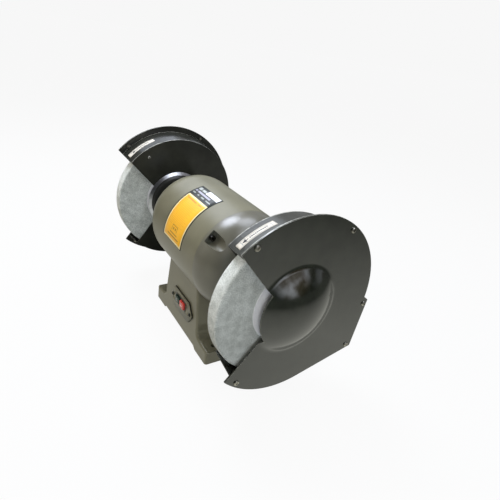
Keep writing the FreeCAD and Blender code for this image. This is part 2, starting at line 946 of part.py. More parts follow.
def wheel_stack():
    start = wheel_start()
    width = size.wheel_width
    paper = size.blotter_thickness
    bore = size.wheel_bore + size.fit_clearance
    edge = size.wheel_edge
    wheel = turned(
        "wheel_turned",
        [
            (start, bore),
            (start, size.wheel_radius - edge),
            (start + edge, size.wheel_radius),
            (start + width - edge, size.wheel_radius),
            (start + width, size.wheel_radius - edge),
            (start + width, bore),
        ],
    )
    finished_pair(wheel, "grinding_wheel")
    bush_bore = size.spindle_radius + size.fit_clearance
    finished_pair(ring("bush", size.wheel_bore, bush_bore, width, start), "wheel_bush")
    papers = [
        ring("blotter_in", size.blotter_radius, bore, paper, start - paper),
        ring("blotter_out", size.blotter_radius, bore, paper, start + width),
    ]
    finished_pair(group("papers", papers), "blotters")
    inner = turned("flange_in", flange_profile(start - paper, -1))
    outer = turned("flange_out", flange_profile(start + width + paper, 1))
    finished_pair(inner, "inner_flange")
    finished_pair(outer, "outer_flange")
    nut_start = start + width + paper + size.flange_thickness
    hexagon = doc.addObject("Part::Prism", "nut_hexagon")
    hexagon.Polygon = 6
    bind(hexagon, "Circumradius", size.nut_flats / root(as_size(3)))
    bind(hexagon, "Height", size.nut_height)
    place(hexagon, nut_start, turn=along_x)
    corner = size.nut_flats / root(as_size(3))
    chamfer = turned(
        "nut_chamfer",
        [
            (nut_start, 0),
            (nut_start, corner),
            (nut_start + size.nut_height - size.nut_chamfer_height, corner),
            (nut_start + size.nut_height, size.nut_face_radius),
            (nut_start + size.nut_height, 0),
        ],
    )
    hole = cylinder("nut_hole", bush_bore, size.nut_height, nut_start)
    nut = cut("nut_bored", common("nut_blank", hexagon, chamfer), hole)
    finished_pair(nut, "spindle_nut")


# --- wheel guards -----------------------------------------------------------------------------
def crossing(angle_1, reach_1, angle_2, reach_2):
    """Where two lines meet, each given by its normal's angle and its distance out."""
    turn = sine(angle_2 - angle_1)
    y = (reach_1 * sine(angle_2) - reach_2 * sine(angle_1)) / turn
    z = (reach_2 * cosine(angle_1) - reach_1 * cosine(angle_2)) / turn
    return y, z


def guard_outline(inset):
    """The guard's outline seen along the shaft, drawn in by inset: a round top, a slightly
    smaller round front below, a straight rising bottom, and a squared rear for the dust."""
    top = guard_radius() - inset
    low = guard_low_radius() - inset
    rear = guard_rear_reach() - inset
    step = (guard_radius() - size.guard_step_shrink) - inset
    bottom_angle = size.guard_bottom_rise - 90
    rear_angle = -size.guard_rear_tilt
    step_angle = size.guard_step_angle
    shoulder = step_angle - angle_of_cosine(step / top)
    start_y, start_z = polar(top, shoulder)
    low_y, low_z = polar(low, bottom_angle)
    corner_y, corner_z = crossing(bottom_angle, low, rear_angle, rear)
    peak_y, peak_z = crossing(rear_angle, rear, step_angle, step)
    return [
        (start_y, start_z, (top, 0, 0, 1)),
        (-top, 0),
        (-low, 0, (low, 0, 0, 1)),
        (low_y, low_z),
        (corner_y, corner_z),
        (peak_y, peak_z),
    ]


def front_opening(name, arc_radius):
    """The wedge in front of the wheel, less the round island about the shaft."""
    reach = 2 * guard_radius()
    half = reach * tangent(size.opening_half_angle)
    start = guard_inner_face() - size.cutter_overlap
    length = 2 * size.guard_width + size.cutter_overlap
    apex = -size.opening_apex
    wedge = plate(
        name + "_wedge",
        [[(apex, 0), (apex - reach, half), (apex - reach, -half)]],
        start,
        length,
    )
    return cut(name, wedge, cylinder(name + "_island", arc_radius, length, start))


def lofted(body, kind, loops):
    sketches = [draw(body, "YZ_Plane", [corners], x) for x, corners in loops]
    feature = body.newObject(f"PartDesign::{kind}", body.Name + "_" + kind)
    feature.Profile = sketches[0]
    feature.Sections = sketches[1:]
    feature.Ruled = True
    doc.recompute()
    return feature


def cover_screw_spots():
    """The five screws of a cover: three on the round rims and two by the squared rear."""
    inset = size.cover_screw_inset
    top = guard_radius() - inset
    low = guard_low_radius() - inset
    rear = guard_rear_reach()
    rear_angle = -size.guard_rear_tilt
    bottom_angle = size.guard_bottom_rise - 90
    step = guard_radius() - size.guard_step_shrink - size.cover_screw_upper_inset
    upper = crossing(rear_angle, rear - inset, size.guard_step_angle, step)
    lower = crossing(rear_angle, rear - size.cover_screw_lower_inset, bottom_angle, low)
    spots = [polar(top, size.cover_screw_rear_angle), polar(top, size.cover_screw_front_angle)]
    return spots + [polar(low, size.cover_screw_low_angle), upper, lower]


def guard_housing():
    inner_face = guard_inner_face()
    rim_face = guard_rim_face()
    deep_inset = size.band_inset + size.band_draft
    sheet_ = size.guard_sheet
    slope = size.band_draft / (rim_face - inner_face)
    floor_inset = deep_inset + sheet_ - slope * sheet_
    body = new_body("guard_pressing")
    lofted(
        body, "AdditiveLoft",
        [(inner_face, guard_outline(deep_inset)), (rim_face, guard_outline(size.band_inset))],
    )
    lofted(
        body, "SubtractiveLoft",
        [
            (inner_face + sheet_, guard_outline(floor_inset)),
            (rim_face, guard_outline(size.band_inset + sheet_)),
        ],
    )
    rim = draw(
        body, "YZ_Plane",
        [guard_outline(as_size(0)), guard_outline(size.band_inset + sheet_)], rim_face,
    )
    padded(body, rim, sheet_)
    doc.recompute()
    outlet = box(
        "dust_outlet", inner_face + size.outlet_margin, guard_radius() - size.outlet_depth,
        -size.outlet_drop - size.outlet_height / 2,
        rim_face - inner_face - 2 * size.outlet_margin,
        guard_radius(), size.outlet_height,
    )
    tools = [front_opening("housing_opening", size.plate_arc_radius), outlet]
    tools.append(
        cylinder("plate_hole", size.plate_hole_radius, 4 * sheet_, inner_face - sheet_)
    )
    hole = size.guard_screw_radius + size.hole_clearance
    for number, (y, z) in enumerate(mount_screw_spots(), start=1):
        name = f"plate_screw_hole_{number}"
        tools.append(cylinder(name, hole, 4 * sheet_, inner_face - sheet_, y, z))
    side_y, side_z = polar(size.side_screw_circle, size.side_screw_angle)
    tight = size.guard_screw_radius + size.fit_clearance
    tools.append(
        cylinder("side_screw_hole", tight, 4 * sheet_, inner_face - sheet_, side_y, side_z)
    )
    screw_hole = size.cover_screw_radius + size.hole_clearance
    for number, (y, z) in enumerate(cover_screw_spots(), start=1):
        tools.append(cylinder(f"rim_hole_{number}", screw_hole, 4 * sheet_, rim_face - sheet_, y, z))
    finished_pair(cut("guard_cut", body, *tools), "guard_housing", tilt_left=True)


def dome_profile():
    """The pressed bulge over the spindle nut: a hollow fillet at its foot, then a cap."""
    face = guard_outer_face()
    foot = size.dome_foot_radius
    fillet = size.dome_fillet
    slope = size.dome_slope
    bend_r = foot - fillet * sine(slope)
    bend_rise = fillet - fillet * cosine(slope)
    cap = bend_r / sine(slope)
    crown = bend_rise + cap - cap * cosine(slope)
    sheet_ = size.guard_sheet
    out_x = face + bend_rise
    in_x = out_x - sheet_
    return [
        (face, foot, (fillet, face + fillet, foot, 1)),
        (out_x, bend_r, (cap, face + crown - cap, 0, -1)),
        (face + crown, 0),
        (face + crown - sheet_, 0, (cap, face + crown - sheet_ - cap, 0, 1)),
        (in_x, bend_r, (fillet, face - sheet_ + fillet, foot, -1)),
        (face - sheet_, foot),
    ]


def guard_cover():
    face = guard_outer_face()
    sheet_ = size.guard_sheet
    flat = plate("cover_flat", [guard_outline(as_size(0))], face - sheet_, sheet_)
    hole = cylinder("dome_hole", size.dome_foot_radius, 3 * sheet_, face - 2 * sheet_)
    dome = turned("cover_dome", dome_profile())
    blank = fuse("cover_blank", cut("cover_holed", flat, hole), dome)
    tools = [front_opening("cover_opening", size.cover_arc_radius)]
    screw_hole = size.cover_screw_radius + size.hole_clearance
    for number, (y, z) in enumerate(cover_screw_spots(), start=1):
        tools.append(
            cylinder(f"cover_hole_{number}", screw_hole, 4 * sheet_, face - 2 * sheet_, y, z)
        )
    finished_pair(cut("cover_cut", blank, *tools), "guard_cover", tilt_left=True)


def cover_fasteners():
    sheet_ = size.guard_sheet
    face = guard_outer_face()
    length = 2 * sheet_ + size.cover_nut_height + size.screw_end
    pattern = screw(
        "cover_screw", size.cover_screw_radius, length,
        size.cover_screw_head, size.cover_screw_head_height,
    )
    screws = []
    nuts = []
    nut_start = face - 2 * sheet_ - size.cover_nut_height
    for number, (y, z) in enumerate(cover_screw_spots(), start=1):
        screws.append(copy_at(f"cover_screw_{number}", pattern, face, y, z))
        hexagon = doc.addObject("Part::Prism", f"rim_nut_{number}")
        hexagon.Polygon = 6
        bind(hexagon, "Circumradius", size.cover_nut_flats / root(as_size(3)))
        bind(hexagon, "Height", size.cover_nut_height)
        place(hexagon, nut_start, y, z, along_x)
        bore = cylinder(
            f"rim_nut_bore_{number}", size.cover_screw_radius + size.fit_clearance,
            size.cover_nut_height, nut_start, y, z,
        )
        nuts.append(cut(f"rim_nut_bored_{number}", hexagon, bore))
    finished_pair(group("cover_screw_set", screws), "cover_screws", tilt_left=True)
    finished_pair(group("cover_nut_set", nuts), "cover_nuts", tilt_left=True)


def mount_screw_spots():
    return [polar(size.mount_screw_circle, angle) for angle in (45, 135, 225, 315)]


def guard_mount():
    start = bell_end() + size.mount_start_gap
    face = guard_inner_face()
    bore = size.spigot_radius + size.fit_clearance
    blank = turned(
        "mount_turned",
        [
            (start, bore),
            (start, size.mount_neck_radius),
            (face - size.mount_flange_thickness, size.mount_neck_radius),
            (face - size.mount_flange_thickness, size.mount_rim_radius),
            (face, size.mount_flange_radius),
            (face, bore),
        ],
    )
    depth = size.mount_thread_depth
    tools = []
    for number, (y, z) in enumerate(mount_screw_spots(), start=1):
        hole = size.guard_screw_radius + size.fit_clearance
        tools.append(cylinder(f"mount_thread_{number}", hole, depth, face - depth, y, z))
    grub_x = (start + face) / 2
    grub_length = size.mount_neck_radius - size.spigot_radius
    grubs = []
    for number, angle in enumerate((90, 210, 330), start=1):
        axis = FreeCAD.Vector(1, 0, 0)
        turn = FreeCAD.Rotation(axis, angle - 90)
        y, z = polar(size.spigot_radius + size.fit_clearance, angle)
        hole = cylinder(
            f"grub_hole_{number}", size.guard_screw_radius + size.fit_clearance,
            2 * grub_length, grub_x, y, z, turn,
        )
        tools.append(hole)
        body = cylinder(
            f"grub_body_{number}", size.guard_screw_radius, grub_length - size.grub_relief,
            grub_x, y, z, turn,
        )
        socket = doc.addObject("Part::Prism", f"grub_socket_{number}")
        socket.Polygon = 6
        bind(socket, "Circumradius", size.grub_socket_radius)
        bind(socket, "Height", grub_length)
        socket_y, socket_z = polar(size.spigot_radius + size.grub_socket_start, angle)
        place(socket, grub_x, socket_y, socket_z, turn)
        grubs.append(cut(f"grub_{number}", body, socket))
    finished_pair(cut("mount_bored", blank, *tools), "guard_mount", tilt_left=True)
    finished_pair(group("grub_set", grubs), "guard_grub_screws", tilt_left=True)
    pattern = screw(
        "plate_screw", size.guard_screw_radius, size.guard_sheet + depth - size.thread_end_gap,
        size.guard_screw_head, size.guard_screw_head_height,
    )
    screws = []
    for number, (y, z) in enumerate(mount_screw_spots(), start=1):
        screws.append(
            copy_at(f"plate_screw_{number}", pattern, face + size.guard_sheet, y, z)
        )
    finished_pair(group("plate_screw_set", screws), "guard_plate_screws", tilt_left=True)
    side_y, side_z = polar(size.side_screw_circle, size.side_screw_angle)
    flip = FreeCAD.Rotation(FreeCAD.Vector(0, 0, 1), 180)
    side = screw(
        "side_screw", size.guard_screw_radius, 3 * size.guard_sheet,
        size.side_screw_head, size.side_screw_head_height,
    )
    seated = copy_at("side_screw_seated", side, face, side_y, side_z, flip)
    finished_pair(seated, "shield_bracket_screw", tilt_left=True)


# --- switch, terminals, capacitor, gland and underside ----------------------------------------
def case_half_length():
    wells = size.button_length + 2 * size.button_gap
    return size.button_rib / 2 + wells + size.switch_case_wall


def case_half_height():
    return size.button_height / 2 + size.button_gap + size.switch_case_wall


def case_x():
    return size.switch_shift + size.case_shift


def case_z():
    return switch_z() + size.case_lift


def switch_box(name, margin, y, depth):
    """A box about the switch's own centre, larger than its case by margin on each side."""
    across = case_half_length() + margin
    up = case_half_height() + margin
    return box(name, case_x() - across, y, case_z() - up, 2 * across, depth, 2 * up)


def switch_opening(name, y, depth):
    return switch_box(name, size.switch_gap, y, depth)


def switch_plate():
    half = size.pedestal_depth / 2
    middle = size.switch_shift
    centre = switch_z()
    long_half = size.switch_plate_half_length
    flat_half = size.switch_plate_flat_half
    rise = size.switch_plate_half_height
    tip = size.switch_plate_tip_half
    corners = [
        (middle + long_half, centre - tip),
        (middle + long_half, centre + tip),
        (middle + flat_half, centre + rise),
        (middle - flat_half, centre + rise),
        (middle - long_half, centre + tip),
        (middle - long_half, centre - tip),
        (middle - flat_half, centre - rise),
        (middle + flat_half, centre - rise),
    ]
    thick = size.switch_plate_thickness
    blank = block("switch_plate_blank", corners, -half - thick, thick)
    tools = [switch_opening("plate_window", -half - 2 * thick, 3 * thick)]
    pattern = screw(
        "switch_screw", size.cover_screw_radius, thick + size.pedestal_wall,
        size.switch_screw_head, size.cover_screw_head_height,
    )
    towards_front = FreeCAD.Rotation(FreeCAD.Vector(0, 0, 1), -90)
    screws = []
    for number, side in enumerate((-1, 1), start=1):
        x = middle + side * size.switch_screw_spacing / 2
        tools.append(
            cylinder(
                f"plate_eye_{number}", size.cover_screw_radius + size.hole_clearance,
                3 * thick, x, -half - 2 * thick, centre, along_y,
            )
        )
        screws.append(
            copy_at(f"switch_screw_{number}", pattern, x, -half - thick, centre, towards_front)
        )
    finished(cut("switch_plate", blank, *tools), "switch_plate")
    finished(group("switch_plate_screws", screws), "switch_plate_screws")


def switch():
    """A two-button switch: start on the left, stop on the right, each in its own well."""
    front = -size.pedestal_depth / 2 - size.switch_plate_thickness
    lip = size.bezel_thickness
    bezel = switch_box("bezel", size.bezel_margin, front - lip, lip)
    case = switch_box("switch_case", 0, front, size.switch_case_depth)
    length = size.button_length
    height = size.button_height
    gap = size.button_gap
    first = (size.button_rib / 2 + gap, -size.button_rib / 2 - gap - length)
    bottom = case_z() - height / 2
    wells = []
    for side, shift in zip(("stop", "start"), first):
        start_x = case_x() + shift
        wells.append(
            box(
                f"{side}_well", start_x - gap, front - 2 * lip, bottom - gap,
                length + 2 * gap, 2 * lip + size.button_depth + size.button_travel + gap,
                height + 2 * gap,
            )
        )
        cap = box(
            f"{side}_cap", start_x, front - lip - size.button_rise, bottom,
            length, size.button_rise + lip + size.button_depth, height,
        )
        doc.recompute()
        button = doc.addObject("Part::Fillet", f"{side}_rounded")
        button.Base = cap
        radius = size.button_edge_radius.value
        button.Edges = [(n, radius, radius) for n in front_edges(cap.Shape)]
        finished(group(f"{side}_button", [button]), f"{side}_button")
    tags = []
    for number, (a, b) in enumerate([(-1, -1), (-1, 1), (1, -1), (1, 1)], start=1):
        tags.append(
            box(
                f"switch_tag_{number}", case_x() + a * length / 2 - size.tag_width / 2,
                front + size.switch_case_depth - size.tag_root,
                case_z() + b * height / 4 - size.tag_thickness / 2,
                size.tag_width, size.tag_length, size.tag_thickness,
            )
        )
    finished(cut("switch_body", fuse("switch_blank", bezel, case, *tags), *wells), "switch_body")


def front_edges(shape):
    """The numbers of the edges round a shape's front face."""
    front = shape.BoundBox.YMin
    numbers = []
    for number, edge in enumerate(shape.Edges, start=1):
        if edge.BoundBox.YMax < front + 0.01:
            numbers.append(number)
    return numbers


def electrics():
    wall_face = size.pedestal_depth / 2 - size.pedestal_wall
    radius = size.capacitor_radius
    band = size.strap_thickness
    y = wall_face - radius - band - size.strap_wall_gap
    z = gland_z()
    start = -size.capacitor_shift
    can = cylinder("capacitor_can", radius, size.capacitor_length, start, y, z)
    reach = size.capacitor_length + size.capacitor_neck_length
    neck = cylinder("capacitor_cap", size.capacitor_neck_radius, reach, start, y, z)
    finished(fuse("capacitor", can, neck), "capacitor")
    strap_x = start + size.strap_shift
    strap = ring("strap", radius + band, radius + size.strap_clearance, size.strap_width, strap_x)
    place(strap, 0, y, z)
    foot = box(
        "strap_foot", strap_x, wall_face - band, z - size.strap_foot_drop,
        size.strap_width, band, size.strap_foot_height,
    )
    finished(fuse("capacitor_strap", strap, foot), "capacitor_strap")
    length = size.terminal_length
    depth = size.terminal_depth
    height = size.terminal_height
    block_x = -size.gland_shift - length / 2 + size.terminal_shift
    block_y = wall_face - depth
    block_z = z + size.terminal_rise
    blank = box("terminal_bar", block_x, block_y, block_z, length, depth, height)
    wells = []
    pitch = length / size.terminal_count
    for number in range(int(size.terminal_count.value)):
        middle = block_x + pitch / 2 + pitch * number
        wells.append(
            cylinder(
                f"terminal_well_{number + 1}", size.terminal_well_radius,
                size.terminal_well_depth, middle, block_y, block_z + height / 2, along_y,
            )
        )
    finished(cut("terminal_block", blank, *wells), "terminal_block")
    half = size.pedestal_depth / 2
    x = -size.gland_shift
    outside = cylinder(
        "gland_flange", size.gland_flange_radius, size.gland_flange_thickness, x, half, z, along_y
    )
    collar = cylinder(
        "gland_collar", size.gland_collar_radius, size.gland_collar_length, x, half, z, along_y
    )
    inward = size.pedestal_wall + size.gland_stem_reach
    stem = cylinder("gland_stem", size.gland_radius, inward, x, half - inward, z, along_y)
    bore = cylinder(
        "gland_bore_tool", size.gland_bore, inward + size.gland_collar_length + 2,
        x, half - inward - 1, z, along_y,
    )
    finished(cut("cord_gland", fuse("gland_blank", outside, collar, stem), bore), "cord_gland")


def underside():
    thick = size.base_cover_thickness
    top = -size.axis_height + size.relief_height
    half_x = size.hollow_bottom_half + size.base_cover_margin
    half_y = size.pedestal_depth / 2 - size.pedestal_wall + size.base_cover_margin
    blank = box("base_plate", -half_x, -half_y, top - thick, 2 * half_x, 2 * half_y, thick)
    tools = []
    pattern = screw(
        "base_screw", size.cover_screw_radius, size.base_screw_length,
        size.base_screw_head, size.base_screw_head_height,
    )
    screws = []
    head_down = FreeCAD.Rotation(FreeCAD.Vector(0, 1, 0), 90)
    for number, (x, y) in enumerate(base_boss_spots(), start=1):
        tools.append(
            cylinder(
                f"base_plate_hole_{number}", size.cover_screw_radius + size.hole_clearance,
                3 * thick, x, y, top - 2 * thick, upright,
            )
        )
        screws.append(copy_at(f"base_screw_{number}", pattern, x, y, top - thick, head_down))
    finished(cut("base_cover", blank, *tools), "base_cover")
    finished(group("base_cover_screws", screws), "base_cover_screws")


# --- labels -----------------------------------------------------------------------------------
def sector(name, kind, sizes, first, last, start, width):
    """A slice of a cylinder or cone about the shaft, between two angles from +Y to +Z."""
    item = doc.addObject(kind, name)
    for name_of_size, number in sizes:
        bind(item, name_of_size, number)
    bind(item, "Height", width)
    bind(item, "Angle", last - first)
    # along_x points the solid's own X axis, where its slice begins, to -Z
    turn = FreeCAD.Rotation(FreeCAD.Vector(1, 0, 0), first.value + 90) * along_x
    return place(item, start, turn=turn)


def rating_label():
    thick = size.label_thickness
    under = size.barrel_radius + size.fit_clearance
    start = size.label_start
    width = size.label_length
    outside = sector(
        "label_outside", "Part::Cylinder", [("Radius", under + thick)],
        size.label_first_angle, size.label_last_angle, start, width,
    )
    inside = cylinder("label_inside", under, width + 2, start - 1)
    finished(cut("rating_label", outside, inside), "rating_label")


def arrow_label(name, shift):
    """A label bent round a guard's conical band, shift mm out from the inner plate."""
    rim_face = guard_rim_face()
    run = size.band_draft / (rim_face - guard_inner_face())
    root_radius = guard_radius() - size.band_inset - size.band_draft + size.fit_clearance
    inner_1 = root_radius + run * shift
    inner_2 = root_radius + run * (shift + size.arrow_label_width)
    slices = []
    for layer, extra in (("outside", size.label_thickness), ("inside", as_size(0))):
        slices.append(
            sector(
                f"{name}_{layer}", "Part::Cone",
                [("Radius1", inner_1 + extra), ("Radius2", inner_2 + extra)],
                size.arrow_label_first_angle, size.arrow_label_last_angle,
                guard_inner_face() + shift, size.arrow_label_width,
            )
        )
    return cut(name, *slices)


def arrow_labels():
    right = arrow_label("arrow_right", size.arrow_label_right_start)
    left = mirrored("arrow_left_mirrored", arrow_label("arrow_left", size.arrow_label_left_start))
    tilt_with_left_guard(left)
    finished(left, "arrow_label_left")
    finished(right, "arrow_label_right")


frame_with_feet()
end_bells()
tie_bolts()
stator()
rotor()
shaft()
bearings()
wheel_stack()
guard_mount()
guard_housing()
guard_cover()
cover_fasteners()
switch_plate()
switch()
electrics()
underside()
rating_label()
arrow_labels()
doc.recompute()

faults = [item.Name for item in doc.Objects if {"Invalid", "Error"} & set(item.State)]
for item in nodes:
    if item.Shape.isNull() or not item.Shape.isValid() or not item.Shape.Solids:
        faults.append(item.Label)
if faults:
    raise SystemExit("these pieces did not build: " + ", ".join(faults))
for item in nodes:
    item.Shape.exportStep(f"parts/{item.Label}.step")
print(f"{len(nodes)} nodes, {sum(len(item.Shape.Solids) for item in nodes)} solids")
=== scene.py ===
import json
import math

import bmesh
import bpy
from mathutils import Matrix, Vector, noise


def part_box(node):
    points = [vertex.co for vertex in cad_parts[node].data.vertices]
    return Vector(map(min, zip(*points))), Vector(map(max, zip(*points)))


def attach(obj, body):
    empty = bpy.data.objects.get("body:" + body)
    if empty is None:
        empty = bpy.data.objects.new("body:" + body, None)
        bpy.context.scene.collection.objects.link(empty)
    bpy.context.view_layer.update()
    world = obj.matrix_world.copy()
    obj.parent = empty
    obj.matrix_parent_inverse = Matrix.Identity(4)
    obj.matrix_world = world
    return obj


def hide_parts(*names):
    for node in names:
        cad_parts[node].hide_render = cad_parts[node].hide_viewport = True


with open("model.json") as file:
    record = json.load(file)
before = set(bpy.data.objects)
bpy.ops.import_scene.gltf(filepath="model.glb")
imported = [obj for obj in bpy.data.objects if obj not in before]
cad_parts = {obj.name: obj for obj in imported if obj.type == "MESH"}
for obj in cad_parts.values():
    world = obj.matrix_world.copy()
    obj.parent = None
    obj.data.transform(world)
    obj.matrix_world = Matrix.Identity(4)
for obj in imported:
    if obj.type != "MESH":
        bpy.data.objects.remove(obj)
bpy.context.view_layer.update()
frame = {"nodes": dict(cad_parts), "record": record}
nodes = frame["nodes"]
mm = 0.001
weld = 0.001 * mm  # corners nearer to each other than this are one
print("frame loaded:", len(nodes), "nodes")

# the shaft runs along X; the sides are mirror images, but the left guard leans forward a little
shaft = {"height": 197 * mm, "leftGuardTurn": math.radians(4)}
sides = {"right": 1, "left": -1}


def linearFromHex(code):
    # sRGB hex to the linear colour that the shaders take
    parts = [int(code[i : i + 2], 16) / 255 for i in (1, 3, 5)]
    return [c / 12.92 if c <= 0.04045 else ((c + 0.055) / 1.055) ** 2.4 for c in parts] + [1]


def startTree(holder):
    holder.use_nodes = True
    holder.node_tree.nodes.clear()
    return holder.node_tree


def addNode(tree, kind, inputs=None, stops=(), **settings):
    # one node with its settings, the stops of its ramp, and its values or links
    made = tree.nodes.new(kind)
    for key, value in settings.items():
        setattr(made, key, value)
    for number, (position, code) in enumerate(stops):
        made.color_ramp.elements[number].position = position
        made.color_ramp.elements[number].color = linearFromHex(code)
    for key, value in (inputs or {}).items():
        if isinstance(value, bpy.types.NodeSocket):
            tree.links.new(value, made.inputs[key])
        else:
            made.inputs[key].default_value = value
    return made


def makeFinish(name, constants, look, drawOver=None):
    # two colours in soft patches, a gloss that goes with them and a fine relief;
    # what is the same all over the surface is set on the shader's own sockets
    material = bpy.data.materials.new(name)
    tree = startTree(material)
    shader = addNode(tree, "ShaderNodeBsdfPrincipled", constants)
    addNode(tree, "ShaderNodeOutputMaterial", {"Surface": shader.outputs[0]})
    place = addNode(tree, "ShaderNodeTexCoord").outputs["Object"]
    if "pitch" in look:  # a wave node of scale 1 repeats every pi / 10
        rows = {"Vector": place, "Scale": math.pi / 10 / look["pitch"]}
        rows["Distortion"] = look["wobble"]
        patch = addNode(tree, "ShaderNodeTexWave", rows, bands_direction="X").outputs["Fac"]
    else:
        lumps = {"Vector": place, "Scale": 1 / look["patch"], "Detail": look.get("detail", 3)}
        lumps["Roughness"] = look.get("harsh", 0.5)
        patch = addNode(tree, "ShaderNodeTexNoise", lumps).outputs["Fac"]
    stops = list(zip(look.get("spread", (0.35, 0.65)), look["colours"]))
    colour = addNode(tree, "ShaderNodeValToRGB", {"Fac": patch}, stops).outputs["Color"]
    if drawOver:
        colour = drawOver(tree, place, colour)
    tree.links.new(colour, shader.inputs["Base Color"])
    for socket, key in (("Roughness", "gloss"), ("Metallic", "bare")):
        if key in look:
            ends = {"Value": patch, "To Min": look[key][0], "To Max": look[key][1]}
            level = addNode(tree, "ShaderNodeMapRange", ends).outputs["Result"]
            tree.links.new(level, shader.inputs[socket])
    if "depth" in look:
        height = patch
        if "dimple" in look:
            lumps = {"Vector": place, "Scale": 1 / look["dimple"], "Detail": 2}
            height = addNode(tree, "ShaderNodeTexNoise", lumps).outputs["Fac"]
        relief = {"Height": height, "Distance": look["depth"], "Strength": look.get("relief", 1)}
        bump = addNode(tree, "ShaderNodeBump", relief)
        tree.links.new(bump.outputs["Normal"], shader.inputs["Normal"])
    return material


# broad dull stains that grinding dust and coolant leave on a wheel
stain = {
    "size": 12 * mm, "detail": 4, "strength": 0.6,
    "stops": ((0.34, "#bcc0b6"), (0.64, "#f3f5ef")),
}


def stainOver(tree, place, colour):
    lumps = {"Vector": place, "Scale": 1 / stain["size"], "Detail": stain["detail"]}
    broad = addNode(tree, "ShaderNodeTexNoise", lumps).outputs["Fac"]
    tint = addNode(tree, "ShaderNodeValToRGB", {"Fac": broad}, stain["stops"]).outputs["Color"]
    layers = {0: stain["strength"], 6: colour, 7: tint}
    mixed = addNode(tree, "ShaderNodeMix", layers, data_type="RGBA", blend_type="MULTIPLY")
    return mixed.outputs[2]


# sprayed enamel: a soft even sheen, colour that drifts a little, fine orange peel
greyEnamel = makeFinish(
    "greyMachineEnamel", {"IOR": 1.5},
    {"colours": ("#6d6a56", "#76735e"), "patch": 50 * mm, "gloss": (0.3, 0.4),
     "dimple": 1.8 * mm, "depth": 0.03 * mm},
)
# the right end bell: the same enamel, a little glossier, in a darker colour that is painted shade
# from the guard beside it
shadedBellEnamel = makeFinish(
    "shadedMachineEnamel", {"IOR": 1.5, "Specular IOR Level": 0.8},
    {"colours": ("#615f52", "#6a685a"), "patch": 50 * mm, "gloss": (0.26, 0.34),
     "dimple": 1.8 * mm, "depth": 0.03 * mm},
)
# stoved black enamel on pressed sheet: deep and glossy, with long soft waves
blackEnamel = makeFinish(
    "blackGlossEnamel", {"IOR": 1.5, "Specular IOR Level": 0.4},
    {"colours": ("#232420", "#2e2f29"), "patch": 50 * mm, "gloss": (0.14, 0.24),
     "dimple": 5 * mm, "depth": 0.03 * mm},
)
# the same enamel in a greyer colour: a painted sheen for the light that the right guard's band
# catches
litHousingEnamel = makeFinish(
    "blackLitEnamel", {"IOR": 1.5},
    {"colours": ("#3c3d38", "#45463f"), "patch": 45 * mm, "gloss": (0.22, 0.32),
     "dimple": 3 * mm, "depth": 0.03 * mm},
)
# the same enamel on the spun cover, thicker: a mirror that draws the room in dark tones
coverEnamel = makeFinish(
    "blackCoverEnamel", {"IOR": 1.5, "Specular IOR Level": 1.0},
    {"colours": ("#1d211a", "#292d24"), "patch": 18 * mm, "detail": 4, "gloss": (0.07, 0.16),
     "dimple": 5 * mm, "depth": 0.03 * mm},
)
# thin black enamel on small fittings: satin, a little grainy
blackSatin = makeFinish(
    "blackSatinEnamel", {"IOR": 1.5},
    {"colours": ("#1c1d1b", "#232421"), "patch": 50 * mm, "gloss": (0.3, 0.42),
     "dimple": 2.5 * mm, "depth": 0.03 * mm},
)
# grey enamel painted dark and uneven: painted shade for the floors of recesses
pocketShadeEnamel = makeFinish(
    "pocketPaintedShade", {"IOR": 1.5},
    {"colours": ("#3c3d36", "#54554b"), "patch": 12 * mm, "gloss": (0.2, 0.35),
     "dimple": 4 * mm, "depth": 0.03 * mm},
)
# black enamel rubbed thin on a sheet's edge, grey primer and bare steel in patches, kept light as a
# painted highlight along the edges
wornEdgeHighlight = makeFinish(
    "wornEdgePaintedHighlight", {"IOR": 1.5},
    {"colours": ("#585852", "#a9a89d"), "spread": (0.36, 0.6), "patch": 7 * mm, "harsh": 0.6,
     "gloss": (0.42, 0.28), "bare": (0, 0.6)},
)
# turned cast aluminium: bright and even, with a soft streak of light round the cone
turnedFlange = makeFinish(
    "turnedCastAluminium", {"Metallic": 1},
    {"colours": ("#b2b5ba", "#c8cbd0"), "patch": 6 * mm, "gloss": (0.28, 0.34)},
)
# zinc plate: cloudy, blackened or left bright
blackZinc = makeFinish(
    "blackZincPlate", {"Metallic": 1},
    {"colours": ("#85847c", "#b4b2a7"), "patch": 6 * mm, "gloss": (0.3, 0.42),
     "dimple": 0.6 * mm, "depth": 0.02 * mm, "relief": 0.3},
)
brightZinc = makeFinish(
    "brightZincPlate", {"Metallic": 1},
    {"colours": ("#b4b6b6", "#d6d8d8"), "patch": 6 * mm, "gloss": (0.18, 0.28)},
)
# steel blackened in hot salts: nearly black, a dull oily shine
blackOxide = makeFinish(
    "blackOxideSteel", {"Metallic": 1},
    {"colours": ("#31312f", "#51504c"), "patch": 6 * mm, "gloss": (0.22, 0.32),
     "dimple": 0.6 * mm, "depth": 0.02 * mm, "relief": 0.3},
)
# vitrified grey corundum: pale grains and dark pores; its 0.5 mm grit is drawn 1.5 mm to show
grit = {"patch": 1.5 * mm, "detail": 4, "harsh": 0.75, "spread": (0.34, 0.6), "depth": 0.22 * mm}
corundum = makeFinish(
    "vitrifiedCorundum", {"IOR": 1.6, "Roughness": 0.9},
    dict(grit, colours=("#a4aaa4", "#f4f7f2")), stainOver,
)
# the same where a dresser has opened fresh grains: paler, with dust in it
dressedRim = makeFinish(
    "dressedCorundum", {"IOR": 1.6, "Roughness": 0.9},
    dict(grit, colours=("#c4c9c2", "#fbfdfa")), stainOver,
)
# acrylic paint in the marks of the buttons: flat, off white
markPaint = makeFinish(
    "whiteMarkPaint", {"IOR": 1.49},
    {"colours": ("#e6dcd8", "#f3ece9"), "patch": 8 * mm, "gloss": (0.4, 0.5)},
)
